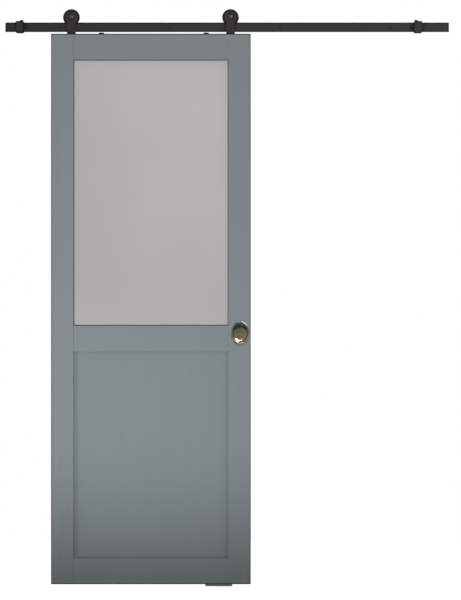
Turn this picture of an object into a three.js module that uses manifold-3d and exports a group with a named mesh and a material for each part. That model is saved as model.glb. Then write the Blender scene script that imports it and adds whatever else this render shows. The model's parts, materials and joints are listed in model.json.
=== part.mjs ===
// Sliding barn door: a flat-bar rail, two top-mounted roller hangers, two end stops, a glazed leaf
// and its floor guide. Millimetres. +X runs along the rail, +Y into the wall, +Z up.
// The origin is on the wall face, at the middle of the rail's length and height.
import * as THREE from 'three';
import { mergeVertices } from 'three/addons/utils/BufferGeometryUtils.js';
import Module from 'manifold-3d';

const wasm = await Module();
wasm.setup();

// ---------------------------------------------------------------- driving dimensions

const FIT = 0.3; // clearance left between pieces that seat on or in each other
const OVERRUN = 2; // how far a cutting tool runs past the face that it opens
const WELD = 1e-4; // points closer than this are one

// Rail and its fixings
const RAIL_LENGTH = 1646;
const RAIL_HEIGHT = 35;
const RAIL_THICKNESS = 6;
const RAIL_EDGE_CHAMFER = 0.8;
const WALL_STANDOFF = 29;
const FIXING_COUNT = 4;
const FIXING_PITCH = 409;
const FIXING_ROW_SHIFT = -9; // middle of the row of fixings, from the middle of the rail
const SPACER_RADIUS = 10;
const LAG_SCREW = { shankRadius: 4, headRadius: 8, headRim: 0.8, socketRadius: 3.4, socketDepth: 2.6 };
const LAG_GRIP_IN_WALL = 50;

// Wheels: a deep front flange, and a shallower rear one that passes over the wall spacers
const TREAD_RADIUS = 18;
const FRONT_FLANGE = { radius: 31, reach: 11, chamfer: 2.5 }; // reach is from the rail's middle
const REAR_FLANGE = { radius: 24, reach: 10, chamfer: 2 };
const GROOVE_SIDE_CLEARANCE = 0.6; // at the tread, on each side of the rail
const GROOVE_FLARE = 2; // how much wider each side is at the flange's rim
const FACE_RECESS = { innerRadius: 15.5, outerRadius: 22, depth: 2, slope: 1 };

// Ball bearings
const BEARING_BORE_RADIUS = 5.3;
const BEARING_OUTER_RADIUS = 13;
const BEARING_WIDTH = 8;
const INNER_RACE_WALL = 2.3;
const OUTER_RACE_WALL = 1.8;
const BALL_RADIUS = 2.2;
const BALL_COUNT = 7;
const BEARING_SHOULDER_LIP = 1.7; // the wheel's rear shoulder stands this far inside the outer race's edge
const TRACK_STEPS = 4; // flats across a ball track
const CAGE_HALF_THICKNESS = 0.7;
const CAGE_OVERHANG = 0.5; // how far the cage's band reaches past the balls

// Hangers
const HANGER_INSET = 75; // axle to the leaf's nearer edge
const STRAP_WIDTH = 32;
const STRAP_THICKNESS = 5;
const STRAP_WHEEL_GAP = 1;
const STRAP_BEND_RADIUS = 1.5;
const FOOT_DEPTH = 34; // front of the strap to the rear end of its foot
const FOOT_SCREW_PLACES = [11.5, 27]; // behind the strap's front face
const FOOT_SCREW = { shankRadius: 2.7, headRadius: 4.8, headRim: 0.4, socketRadius: 1.8, socketDepth: 1.6 };
const FOOT_SCREW_LENGTH = 45;
const AXLE_RADIUS = 5;
const AXLE_HEAD_RADIUS = 9.2;
const AXLE_HEAD_HEIGHT = 5.4;
const AXLE_HEAD_SIDE = 1; // straight side between the head's seat and its dome
const AXLE_FACE_RADIUS = 3.4; // flat in the middle of the dome
const AXLE_SOCKET_RADIUS = 3;
const AXLE_SOCKET_DEPTH = 2.8;
const AXLE_TIP_CHAMFER = 1;
const DOME_STEPS = 4;
const AXLE_SPACER_RADIUS = 7.3;
const NUT_CORNER_RADIUS = 9.8;
const NUT_THICKNESS = 6.5;
const NUT_COLLAR_RADIUS = 7.4;
const NUT_COLLAR_HEIGHT = 2.2;
const AXLE_TIP = 1.5; // thread standing out of the nut

// Anti-jump discs on the leaf's top edge
const DISC_INSET_LEFT = 186;
const DISC_INSET_RIGHT = 165;
const DISC_RADIUS = 10;
const DISC_HEIGHT = 5;
const DISC_CHAMFER = 0.8;
const DISC_SCREW_LENGTH = 32;
const DISC_SCREW = { shankRadius: 2.3, headRadius: 4.4, headRim: 0.4, socketRadius: 1.6, socketDepth: 1.4 };

// End stops: a sleeve round the rail, a clamp screw on its top edge and a rubber buffer in front of the rail
const STOP_INSET_LEFT = 54; // stop's middle to the rail's left end
const STOP_INSET_RIGHT = 115; // stop's middle to the rail's right end
const STOP_LENGTH = 32;
const STOP_CAP = 4; // wall above and below the rail
const STOP_REAR_CHEEK = 6;
const STOP_FRONT_CHEEK = 15;
const STOP_CORNER = 4;
const BUFFER_RADIUS = 7;
const BUFFER_LENGTH = 10;
const BUFFER_ROUND = 1.5;
const BUFFER_STEM_RADIUS = 3;
const BUFFER_STEM_LENGTH = 8;
const BUFFER_STEM_ROOM = 1; // between the stem's end and the bottom of its hole
const BUFFER_RISE = 2; // above the rail's mid-height
const BUFFER_SETBACK = 1; // its axis behind the hanger strap's rear face
const CLAMP_INSET = 9; // clamp screw's axis to the stop's inner face
const CLAMP_HEAD_RADIUS = 6.5;
const CLAMP_HEAD_HEIGHT = 4.6;
const CLAMP_HEAD_CHAMFER = 0.6;
const CLAMP_SHANK_RADIUS = 4;
const CLAMP_SOCKET_RADIUS = 3;
const CLAMP_SOCKET_DEPTH = 2.6;

// Leaf
const LEAF_WIDTH = 740;
const LEAF_HEIGHT = 2040;
const LEAF_THICKNESS = 40;
const LEAF_LEFT_EDGE = -652.5; // at rest
const LEAF_TOP_GAP = 8; // rail's lower edge to the leaf's top edge
const STILE_WIDTH = 83;
const TOP_RAIL_HEIGHT = 96;
const MID_RAIL_HEIGHT = 96;
const BOTTOM_RAIL_HEIGHT = 96;
const MID_RAIL_LEVEL = 910; // its middle, above the leaf's bottom edge
const TENON_LENGTH = 32;
const TENON_THICKNESS = 12;
const TENON_SHOULDER = 16;
const PANEL_THICKNESS = 16;
const PANEL_GROOVE_DEPTH = 10;
const LIP_THICKNESS = 12; // wood left in front of the glass
const REBATE_WIDTH = 10;
const GASKET_THICKNESS = 2;
const GASKET_REVEAL = 2.5; // how far the gasket shows inside the lip
const GLASS_THICKNESS = 6;

// Flush pulls, one in each face of the right stile
const PULL_INSET = 39; // to the leaf's right edge
const PULL_LEVEL = 929; // above the leaf's bottom edge
const PULL_RIM = { halfWidth: 34, halfHeight: 45, thickness: 2.2, faceShare: 0.95, slope: 1.2 };
const PULL_BOWL = { halfWidth: 28.5, halfHeight: 33.5, depth: 11 };
const PULL_WALL = 1.6;
const PULL_BOWL_CURVE = [[1, 0], [0.97, 0.45], [0.86, 0.8], [0.68, 1]]; // [share of its size, of its depth]

// Floor guide
const GUIDE_X = -31; // stays under the leaf over its whole travel
const GUIDE_LENGTH = 100;
const GUIDE_BASE_WIDTH = 28;
const GUIDE_BASE_THICKNESS = 3;
const GUIDE_FIN_THICKNESS = 6;
const GUIDE_ENGAGEMENT = 12;
const FLOOR_GAP = 8; // floor to the leaf's bottom edge
const GUIDE_GROOVE_WIDTH = 7.6;
const GUIDE_GROOVE_DEPTH = 16;
const GUIDE_SCREW_SPREAD = 35;
const GUIDE_SCREW_OFFSET = 9;
const GUIDE_SCREW = { shankRadius: 2, headRadius: 3.8, headRim: 0.3, socketRadius: 1.4, socketDepth: 1 };
const GUIDE_SCREW_LENGTH = 28;

// Facets round a turned piece, and along curves in an outline
const FINE = 32;
const MEDIUM = 20;
const COARSE = 12;
const OUTLINE_STEPS = 24;
const BEND_STEPS = 6;

// ---------------------------------------------------------------- places that follow from them

const railMidY = -(WALL_STANDOFF + RAIL_THICKNESS / 2);
const railBackY = -WALL_STANDOFF;
const railFrontY = railBackY - RAIL_THICKNESS;
const axleZ = RAIL_HEIGHT / 2 + TREAD_RADIUS + FIT;
const leafTopZ = -RAIL_HEIGHT / 2 - LEAF_TOP_GAP;
const leafBottomZ = leafTopZ - LEAF_HEIGHT;
const strapBackY = -(FRONT_FLANGE.reach + STRAP_WHEEL_GAP); // from the rail's middle
const strapFrontY = strapBackY - STRAP_THICKNESS;
const bufferY = strapBackY + BUFFER_SETBACK;
const nutSeatY = BEARING_WIDTH / 2 + FIT;
const nutBackY = nutSeatY + NUT_THICKNESS + NUT_COLLAR_HEIGHT;
const footTopDrop = axleZ - leafTopZ - STRAP_THICKNESS - FIT; // axle to the top of the strap's foot
const fixingXs = Array.from({ length: FIXING_COUNT }, (_, i) =>
  FIXING_ROW_SHIFT + (i - (FIXING_COUNT - 1) / 2) * FIXING_PITCH);
const bottomRailTop = BOTTOM_RAIL_HEIGHT;
const midRailBottom = MID_RAIL_LEVEL - MID_RAIL_HEIGHT / 2;
const midRailTop = MID_RAIL_LEVEL + MID_RAIL_HEIGHT / 2;
const topRailBottom = LEAF_HEIGHT - TOP_RAIL_HEIGHT;
const leafFront = -LEAF_THICKNESS / 2; // in the leaf's own frame, whose y is 0 at mid-thickness
const leafBack = LEAF_THICKNESS / 2;
const lipBack = leafFront + LIP_THICKNESS;
const glassFront = lipBack + GASKET_THICKNESS + 2 * FIT;
const glassBack = glassFront + GLASS_THICKNESS;

// ---------------------------------------------------------------- shaping

/** A box between two opposite corners. */
function block([x0, y0, z0], [x1, y1, z1]) {
  return new THREE.BoxGeometry(x1 - x0, y1 - y0, z1 - z0)
    .translate((x0 + x1) / 2, (y0 + y1) / 2, (z0 + z1) / 2);
}

/** A piece turned about Y from [radius, y] pairs that run outwards, towards +y and back. */
function turned(profile, facets) {
  return new THREE.LatheGeometry(profile.map(([r, y]) => new THREE.Vector2(r, y)), facets);
}

/** A ring turned about Y, whose profile closes on itself. */
function ring(profile, facets) {
  return turned([...profile, profile[0]], facets);
}

/** A plain cylinder along Y. */
function rod(radius, y0, y1, facets = COARSE) {
  return turned([[0, y0], [radius, y0], [radius, y1], [0, y1]], facets);
}

/** Turns a piece made along Y so that its y points up. */
function upright(geometry) {
  return geometry.rotateX(Math.PI / 2);
}

/** Turns a piece made along Y so that its y points along the rail, towards +x or -x. */
function sideways(geometry, direction) {
  return geometry.rotateZ(-direction * Math.PI / 2);
}

/** A plate whose outline lies in X and Z, reaching forwards from yBack. */
function plate(outline, yBack, thickness) {
  const settings = { depth: thickness, bevelEnabled: false, curveSegments: OUTLINE_STEPS };
  return new THREE.ExtrudeGeometry(outline, settings)
    .rotateX(Math.PI / 2)
    .translate(0, yBack, 0);
}

/** A bar whose section lies in Y and Z, centred on x = 0. */
function bar(section, length) {
  const alongX = new THREE.Matrix4().makeBasis(
    new THREE.Vector3(0, 1, 0), new THREE.Vector3(0, 0, 1), new THREE.Vector3(1, 0, 0));
  const settings = { depth: length, bevelEnabled: false, curveSegments: BEND_STEPS };
  return new THREE.ExtrudeGeometry(section, settings)
    .translate(0, 0, -length / 2)
    .applyMatrix4(alongX);
}

/** A rectangle with its four corners cut off. */
function chamferedRectangle(width, height, corner) {
  const [w, h] = [width / 2, height / 2];
  return new THREE.Shape([
    [-w + corner, -h], [w - corner, -h], [w, -h + corner], [w, h - corner],
    [w - corner, h], [-w + corner, h], [-w, h - corner], [-w, -h + corner],
  ].map(([x, y]) => new THREE.Vector2(x, y)));
}

/** Numbers from `from` to `to` in equal steps. */
function steps(from, to, count) {
  return Array.from({ length: count + 1 }, (_, i) => from + (i / count) * (to - from));
}

/** The boolean kernel's solid of a geometry. */
function toSolid(geometry) {
  const bare = new THREE.BufferGeometry();
  bare.setAttribute('position', geometry.getAttribute('position').clone());
  if (geometry.index) bare.setIndex(geometry.index.clone());
  const merged = mergeVertices(bare, WELD);
  return new wasm.Manifold(new wasm.Mesh({
    numProp: 3,
    vertProperties: new Float32Array(merged.getAttribute('position').array),
    triVerts: new Uint32Array(merged.index.array),
  }));
}

/** The geometry of the boolean kernel's solid. */
function toGeometry(solid) {
  const { vertProperties, triVerts } = solid.getMesh();
  const geometry = new THREE.BufferGeometry();
  geometry.setAttribute('position', new THREE.BufferAttribute(vertProperties, 3));
  geometry.setIndex(new THREE.BufferAttribute(triVerts, 1));
  geometry.computeVertexNormals();
  return geometry;
}

/** The first geometry with all the others cut out of it. */
function cut(geometry, ...tools) {
  return toGeometry(tools.reduce((solid, tool) => solid.subtract(toSolid(tool)), toSolid(geometry)));
}

/** All the geometries as one body. */
function join(geometry, ...others) {
  return toGeometry(others.reduce((solid, other) => solid.add(toSolid(other)), toSolid(geometry)));
}

/** What two geometries share. */
function common(a, b) {
  return toGeometry(toSolid(a).intersect(toSolid(b)));
}

/** A six-sided prism along Y. */
function hexPrism(cornerRadius, y0, y1) {
  return rod(cornerRadius, y0, y1, 6);
}

/** A countersunk screw along Y: its flat head at y = 0 and its point at y = length. */
function countersunkScrew({ shankRadius, headRadius, headRim, socketRadius, socketDepth }, length) {
  const neck = headRim + headRadius - shankRadius;
  const body = turned([
    [0, 0], [headRadius, 0], [headRadius, headRim], [shankRadius, neck],
    [shankRadius, length - 2 * shankRadius], [0, length],
  ], COARSE);
  return cut(body, hexPrism(socketRadius, -OVERRUN, socketDepth));
}

/** The hole that a countersunk screw fits, with the head's face at y = 0. */
function countersunkHole({ shankRadius, headRadius, headRim }, depth) {
  const neck = headRim + headRadius - shankRadius;
  return turned([
    [0, -OVERRUN], [headRadius + FIT, -OVERRUN], [headRadius + FIT, headRim + FIT],
    [shankRadius + FIT, neck + FIT], [shankRadius + FIT, depth], [0, depth],
  ], COARSE);
}

// ---------------------------------------------------------------- finishes

const finishes = {
  bronze: { color: 0x37312d, roughness: 0.55, metalness: 0.6 },
  rubber: { color: 0x17171a, roughness: 0.9, metalness: 0 },
  steel: { color: 0xa8abae, roughness: 0.3, metalness: 1 },
  zinc: { color: 0xb9bdc2, roughness: 0.42, metalness: 0.9 },
  leaf: { color: 0x7d878b, roughness: 0.6, metalness: 0 },
  glass: { color: 0xb1adac, roughness: 0.35, metalness: 0 },
  brass: { color: 0x80795c, roughness: 0.3, metalness: 0.9 },
};

/** A named piece in its finish, placed in its group. */
function piece(name, geometry, finish, position = [0, 0, 0]) {
  const mesh = new THREE.Mesh(geometry, new THREE.MeshStandardMaterial(finishes[finish]));
  mesh.name = name;
  mesh.position.set(...position);
  return mesh;
}

// ---------------------------------------------------------------- rail, spacers and lag screws

function railBar() {
  const section = chamferedRectangle(RAIL_THICKNESS, RAIL_HEIGHT, RAIL_EDGE_CHAMFER);
  const holes = fixingXs.map((x) =>
    countersunkHole(LAG_SCREW, RAIL_THICKNESS + OVERRUN).translate(x, -RAIL_THICKNESS / 2, 0));
  return cut(bar(section, RAIL_LENGTH), ...holes);
}

function wallSpacer() {
  const length = WALL_STANDOFF - FIT;
  const bore = LAG_SCREW.shankRadius + FIT;
  return ring([[bore, -length], [SPACER_RADIUS, -length], [SPACER_RADIUS, 0], [bore, 0]], MEDIUM);
}

function railFixings() {
  const group = new THREE.Group();
  group.add(piece('rail', railBar(), 'bronze', [0, railMidY, 0]));
  const lagLength = WALL_STANDOFF + RAIL_THICKNESS + LAG_GRIP_IN_WALL;
  fixingXs.forEach((x, i) => {
    const screw = countersunkScrew(LAG_SCREW, lagLength);
    group.add(piece(`rail_spacer_${i + 1}`, wallSpacer(), 'bronze', [x, 0, 0]));
    group.add(piece(`lag_screw_${i + 1}`, screw, 'bronze', [x, railFrontY, 0]));
  });
  return group;
}

// ---------------------------------------------------------------- end stops

/** The stop's sleeve, whose inner face looks along `inward` (+1 or -1) in x. */
function stopSleeve(inward) {
  const height = RAIL_HEIGHT + 2 * (STOP_CAP + FIT);
  const back = RAIL_THICKNESS / 2 + FIT + STOP_REAR_CHEEK;
  const depth = back + RAIL_THICKNESS / 2 + FIT + STOP_FRONT_CHEEK;
  const slotY = RAIL_THICKNESS / 2 + FIT;
  const slotZ = RAIL_HEIGHT / 2 + FIT;
  const innerFace = inward * STOP_LENGTH / 2;
  const slot = block([-STOP_LENGTH, -slotY, -slotZ], [STOP_LENGTH, slotY, slotZ]);
  const stemHoleDepth = BUFFER_STEM_LENGTH + BUFFER_STEM_ROOM;
  const stemHole = sideways(rod(BUFFER_STEM_RADIUS + FIT, -stemHoleDepth, OVERRUN), inward)
    .translate(innerFace, bufferY, BUFFER_RISE);
  const clampHole = upright(rod(CLAMP_SHANK_RADIUS + FIT, 0, height))
    .translate(innerFace - inward * CLAMP_INSET, 0, 0);
  const body = plate(chamferedRectangle(STOP_LENGTH, height, STOP_CORNER), back, depth);
  return cut(body, slot, stemHole, clampHole);
}

/** A rubber buffer with its stem, whose base is at x = 0. */
function buffer(inward) {
  const profile = [
    [0, -BUFFER_STEM_LENGTH], [BUFFER_STEM_RADIUS, -BUFFER_STEM_LENGTH], [BUFFER_STEM_RADIUS, FIT],
    [BUFFER_RADIUS, FIT], [BUFFER_RADIUS, BUFFER_LENGTH - BUFFER_ROUND],
    [BUFFER_RADIUS - BUFFER_ROUND, BUFFER_LENGTH], [0, BUFFER_LENGTH],
  ];
  return sideways(turned(profile, MEDIUM), inward);
}

/** The cap screw that bears on the rail's top edge. */
function clampScrew() {
  const tip = RAIL_HEIGHT / 2 + FIT;
  const seat = tip + STOP_CAP + 2 * FIT;
  const top = seat + CLAMP_HEAD_HEIGHT;
  const body = turned([
    [0, tip], [CLAMP_SHANK_RADIUS, tip], [CLAMP_SHANK_RADIUS, seat], [CLAMP_HEAD_RADIUS, seat],
    [CLAMP_HEAD_RADIUS, top - CLAMP_HEAD_CHAMFER], [CLAMP_HEAD_RADIUS - CLAMP_HEAD_CHAMFER, top], [0, top],
  ], COARSE);
  return upright(cut(body, hexPrism(CLAMP_SOCKET_RADIUS, top - CLAMP_SOCKET_DEPTH, top + OVERRUN)));
}

function endStop(side, middleX, inward) {
  const group = new THREE.Group();
  const innerFace = inward * STOP_LENGTH / 2;
  const clampX = innerFace - inward * CLAMP_INSET;
  group.position.set(middleX, railMidY, 0);
  group.add(piece(`${side}_stop_body`, stopSleeve(inward), 'bronze'));
  group.add(piece(`${side}_stop_buffer`, buffer(inward), 'rubber', [innerFace, bufferY, BUFFER_RISE]));
  group.add(piece(`${side}_stop_clamp_screw`, clampScrew(), 'bronze', [clampX, 0, 0]));
  return group;
}

// ---------------------------------------------------------------- floor guide

function guideRail() {
  const finTop = FLOOR_GAP + GUIDE_ENGAGEMENT;
  const [end, side, finSide] = [GUIDE_LENGTH / 2, GUIDE_BASE_WIDTH / 2, GUIDE_FIN_THICKNESS / 2];
  const base = block([-end, -side, 0], [end, side, GUIDE_BASE_THICKNESS]);
  const fin = block([-end, -finSide, 0], [end, finSide, finTop]);
  const holes = guideScrewPlaces().map(([x, y]) =>
    countersunkHole(GUIDE_SCREW, GUIDE_BASE_THICKNESS + OVERRUN)
      .rotateX(-Math.PI / 2)
      .translate(x, y, GUIDE_BASE_THICKNESS));
  return cut(join(base, fin), ...holes);
}

function guideScrewPlaces() {
  return [[-GUIDE_SCREW_SPREAD, -GUIDE_SCREW_OFFSET], [GUIDE_SCREW_SPREAD, GUIDE_SCREW_OFFSET]];
}

function floorGuide() {
  const group = new THREE.Group();
  group.position.set(GUIDE_X, railMidY, leafBottomZ - FLOOR_GAP);
  group.add(piece('floor_guide', guideRail(), 'zinc'));
  guideScrewPlaces().forEach(([x, y], i) => {
    const screw = countersunkScrew(GUIDE_SCREW, GUIDE_SCREW_LENGTH).rotateX(-Math.PI / 2);
    group.add(piece(`floor_guide_screw_${i + 1}`, screw, 'steel', [x, y, GUIDE_BASE_THICKNESS]));
  });
  return group;
}

// ---------------------------------------------------------------- hangers, in a frame centred on the axle

/** Flat strap with a round head, bent back at its lower end into a foot on the leaf's top edge. */
function hangerStrap() {
  const heel = -(footTopDrop + STRAP_THICKNESS);
  const outer = STRAP_BEND_RADIUS + STRAP_THICKNESS;
  const top = STRAP_WIDTH / 2;
  const section = new THREE.Shape();
  section.moveTo(strapFrontY, top);
  section.lineTo(strapFrontY, heel + outer);
  section.absarc(strapFrontY + outer, heel + outer, outer, Math.PI, 1.5 * Math.PI, false);
  section.lineTo(strapFrontY + FOOT_DEPTH, heel);
  section.lineTo(strapFrontY + FOOT_DEPTH, heel + STRAP_THICKNESS);
  section.lineTo(strapFrontY + outer, heel + STRAP_THICKNESS);
  section.absarc(strapFrontY + outer, heel + outer, STRAP_BEND_RADIUS, 1.5 * Math.PI, Math.PI, true);
  section.lineTo(strapBackY, top);
  const outline = new THREE.Shape();
  outline.moveTo(-top, heel - OVERRUN);
  outline.lineTo(top, heel - OVERRUN);
  outline.lineTo(top, 0);
  outline.absarc(0, 0, top, 0, Math.PI, false);
  const bent = common(
    bar(section, STRAP_WIDTH + 2 * OVERRUN),
    plate(outline, strapFrontY + FOOT_DEPTH + OVERRUN, FOOT_DEPTH + 2 * OVERRUN));
  const axleHole = rod(AXLE_RADIUS + FIT, strapFrontY - OVERRUN, strapBackY + OVERRUN);
  const footHoles = FOOT_SCREW_PLACES.map((y) =>
    countersunkHole(FOOT_SCREW, STRAP_THICKNESS + OVERRUN)
      .rotateX(-Math.PI / 2)
      .translate(0, strapFrontY + y, heel + STRAP_THICKNESS));
  return cut(bent, axleHole, ...footHoles);
}

/** Domed axle screw from the strap's front to just past the nut. */
function axleScrew() {
  const seat = strapFrontY - FIT;
  const face = seat - AXLE_HEAD_HEIGHT;
  const domeBase = seat - AXLE_HEAD_SIDE;
  const dome = steps(0, Math.PI / 2, DOME_STEPS).map((t) => [
    AXLE_FACE_RADIUS + (AXLE_HEAD_RADIUS - AXLE_FACE_RADIUS) * Math.sin(t),
    domeBase + (face - domeBase) * Math.cos(t),
  ]);
  const end = nutBackY + AXLE_TIP;
  const body = turned([
    [0, face], ...dome, [AXLE_HEAD_RADIUS, seat], [AXLE_RADIUS, seat],
    [AXLE_RADIUS, end - AXLE_TIP_CHAMFER], [AXLE_RADIUS - AXLE_TIP_CHAMFER, end], [0, end],
  ], MEDIUM);
  return cut(body, hexPrism(AXLE_SOCKET_RADIUS, face - OVERRUN, face + AXLE_SOCKET_DEPTH));
}

/** Hexagon lock nut with its round locking collar at the rear. */
function lockNut() {
  const hexagon = hexPrism(NUT_CORNER_RADIUS, nutSeatY, nutSeatY + NUT_THICKNESS);
  const collar = rod(NUT_COLLAR_RADIUS, nutSeatY, nutBackY, MEDIUM);
  const bore = rod(AXLE_RADIUS + FIT, nutSeatY - OVERRUN, nutBackY + OVERRUN, MEDIUM);
  return cut(join(hexagon, collar), bore);
}

/** Sleeve on the axle that holds the bearing's inner race off the strap. */
function axleSpacer() {
  const [front, back, bore] = [strapBackY + FIT, -BEARING_WIDTH / 2 - FIT, AXLE_RADIUS + FIT];
  return ring([[bore, front], [AXLE_SPACER_RADIUS, front], [AXLE_SPACER_RADIUS, back], [bore, back]], MEDIUM);
}

/** The grooved wheel, bored from the front for its bearing, with a dished ring in its face. */
function wheel() {
  const grooveHalf = RAIL_THICKNESS / 2 + GROOVE_SIDE_CLEARANCE;
  const seat = BEARING_OUTER_RADIUS + FIT;
  const shoulderRadius = BEARING_OUTER_RADIUS - BEARING_SHOULDER_LIP;
  const shoulder = BEARING_WIDTH / 2 + FIT;
  const [front, back] = [-FRONT_FLANGE.reach, REAR_FLANGE.reach];
  const { innerRadius, outerRadius, depth, slope } = FACE_RECESS;
  return ring([
    [seat, front],
    [innerRadius, front],
    [innerRadius + slope, front + depth],
    [outerRadius - slope, front + depth],
    [outerRadius, front],
    [FRONT_FLANGE.radius - FRONT_FLANGE.chamfer, front],
    [FRONT_FLANGE.radius, front + FRONT_FLANGE.chamfer],
    [FRONT_FLANGE.radius, -grooveHalf - GROOVE_FLARE],
    [TREAD_RADIUS, -grooveHalf],
    [TREAD_RADIUS, grooveHalf],
    [REAR_FLANGE.radius, grooveHalf + GROOVE_FLARE],
    [REAR_FLANGE.radius, back - REAR_FLANGE.chamfer],
    [REAR_FLANGE.radius - REAR_FLANGE.chamfer, back],
    [shoulderRadius, back],
    [shoulderRadius, shoulder],
    [seat, shoulder],
  ], FINE);
}

const innerRaceRadius = BEARING_BORE_RADIUS + INNER_RACE_WALL;
const outerRaceRadius = BEARING_OUTER_RADIUS - OUTER_RACE_WALL;
const ballCircleRadius = (innerRaceRadius + outerRaceRadius) / 2;

/** Points across a race's ball track, from front to back; `side` is -1 on the inner race, +1 on the outer. */
function ballTrack(side) {
  const trackRadius = BALL_RADIUS + FIT;
  const reach = Math.acos(((outerRaceRadius - innerRaceRadius) / 2) / trackRadius);
  return steps(-reach, reach, TRACK_STEPS).map((t) => [
    ballCircleRadius + side * trackRadius * Math.cos(t), trackRadius * Math.sin(t),
  ]);
}

function innerRace() {
  const half = BEARING_WIDTH / 2;
  return ring([
    [BEARING_BORE_RADIUS, -half], [innerRaceRadius, -half], ...ballTrack(-1),
    [innerRaceRadius, half], [BEARING_BORE_RADIUS, half],
  ], MEDIUM);
}

function outerRace() {
  const half = BEARING_WIDTH / 2;
  return ring([
    [outerRaceRadius, -half], [BEARING_OUTER_RADIUS, -half], [BEARING_OUTER_RADIUS, half],
    [outerRaceRadius, half], ...ballTrack(1).reverse(),
  ], MEDIUM);
}

/** The balls in the band that spaces them, which go round together. */
function ballCage() {
  const [inner, outer] = [ballCircleRadius - CAGE_HALF_THICKNESS, ballCircleRadius + CAGE_HALF_THICKNESS];
  const half = BALL_RADIUS + CAGE_OVERHANG;
  const band = ring([[inner, -half], [outer, -half], [outer, half], [inner, half]], MEDIUM);
  const balls = Array.from({ length: BALL_COUNT }, (_, i) => {
    const angle = (i / BALL_COUNT) * 2 * Math.PI;
    return new THREE.IcosahedronGeometry(BALL_RADIUS)
      .translate(ballCircleRadius * Math.cos(angle), 0, ballCircleRadius * Math.sin(angle));
  });
  return join(band, ...balls);
}

function hanger(side, x) {
  const group = new THREE.Group();
  group.position.set(x, railMidY, axleZ);
  group.add(piece(`${side}_hanger_strap`, hangerStrap(), 'bronze'));
  group.add(piece(`${side}_axle_screw`, axleScrew(), 'bronze'));
  group.add(piece(`${side}_axle_spacer`, axleSpacer(), 'zinc'));
  group.add(piece(`${side}_lock_nut`, lockNut(), 'zinc'));
  group.add(piece(`${side}_bearing_inner_race`, innerRace(), 'steel'));
  group.add(piece(`${side}_ball_cage`, ballCage(), 'steel'));
  group.add(piece(`${side}_bearing_outer_race`, outerRace(), 'steel'));
  group.add(piece(`${side}_wheel`, wheel(), 'bronze'));
  FOOT_SCREW_PLACES.forEach((y, i) => {
    const screw = countersunkScrew(FOOT_SCREW, FOOT_SCREW_LENGTH).rotateX(-Math.PI / 2);
    const place = [0, strapFrontY + y, -footTopDrop];
    group.add(piece(`${side}_foot_screw_${i + 1}`, screw, 'bronze', place));
  });
  return group;
}

// ---------------------------------------------------------------- leaf, in a frame at its bottom left corner

const hangerXs = [HANGER_INSET, LEAF_WIDTH - HANGER_INSET];
const discXs = [DISC_INSET_LEFT, LEAF_WIDTH - DISC_INSET_RIGHT];
const pullX = LEAF_WIDTH - PULL_INSET;
const members = {
  top: { from: topRailBottom, to: LEAF_HEIGHT },
  mid: { from: midRailBottom, to: midRailTop },
  bottom: { from: 0, to: bottomRailTop },
};

/** The room that the glass, its gasket and its beads need behind the front lip. */
function glassRebate() {
  return block(
    [STILE_WIDTH - REBATE_WIDTH, lipBack, midRailTop - REBATE_WIDTH],
    [LEAF_WIDTH - STILE_WIDTH + REBATE_WIDTH, leafBack + OVERRUN, topRailBottom + REBATE_WIDTH]);
}

/** The groove that the lower panel's edges run in. */
function panelGroove() {
  const half = PANEL_THICKNESS / 2 + FIT;
  return block(
    [STILE_WIDTH - PANEL_GROOVE_DEPTH, -half, bottomRailTop - PANEL_GROOVE_DEPTH],
    [LEAF_WIDTH - STILE_WIDTH + PANEL_GROOVE_DEPTH, half, midRailBottom + PANEL_GROOVE_DEPTH]);
}

/** The groove in the leaf's bottom edge that the floor guide's fin runs in. */
function guideGroove() {
  return block(
    [-OVERRUN, -GUIDE_GROOVE_WIDTH / 2, -OVERRUN],
    [LEAF_WIDTH + OVERRUN, GUIDE_GROOVE_WIDTH / 2, GUIDE_GROOVE_DEPTH]);
}

/** A member's tenons from stile to stile, grown by `room` all round. */
function tenonBar({ from, to }, room) {
  const reach = STILE_WIDTH - TENON_LENGTH - room;
  return block(
    [reach, -TENON_THICKNESS / 2 - room, from + TENON_SHOULDER - room],
    [LEAF_WIDTH - reach, TENON_THICKNESS / 2 + room, to - TENON_SHOULDER + room]);
}

/** Pilot holes in the leaf's top edge for the hangers' foot screws. */
function footScrewPilots() {
  const seat = STRAP_THICKNESS + FIT;
  return hangerXs.flatMap((x) => FOOT_SCREW_PLACES.map((y) =>
    rod(FOOT_SCREW.shankRadius + FIT, -OVERRUN - seat, FOOT_SCREW_LENGTH - seat + OVERRUN)
      .rotateX(-Math.PI / 2)
      .translate(x, strapFrontY + y, LEAF_HEIGHT)));
}

/** Pilot holes in the leaf's top edge for the anti-jump discs' screws. */
function discScrewPilots() {
  return discXs.map((x) =>
    rod(DISC_SCREW.shankRadius + FIT, -OVERRUN, DISC_SCREW_LENGTH)
      .rotateX(-Math.PI / 2)
      .translate(x, 0, LEAF_HEIGHT));
}

/** An oval cylinder along Y. */
function oval(halfWidth, halfHeight, y0, y1) {
  return rod(1, y0, y1, MEDIUM).scale(halfWidth, 1, halfHeight);
}

/** The two oval recesses that the flush pulls' cups sit in. */
function pullRecesses() {
  const room = PULL_WALL + FIT;
  const depth = PULL_BOWL.depth + PULL_WALL + FIT;
  const [w, h] = [PULL_BOWL.halfWidth + room, PULL_BOWL.halfHeight + room];
  return [
    oval(w, h, leafFront - OVERRUN, leafFront + depth),
    oval(w, h, leafBack - depth, leafBack + OVERRUN),
  ].map((geometry) => geometry.translate(pullX, 0, PULL_LEVEL));
}

function stile(x0, x1) {
  return cut(
    block([x0, leafFront, 0], [x1, leafBack, LEAF_HEIGHT]),
    glassRebate(), panelGroove(), guideGroove(),
    ...Object.values(members).map((member) => tenonBar(member, FIT)),
    ...footScrewPilots(), ...pullRecesses());
}

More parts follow.
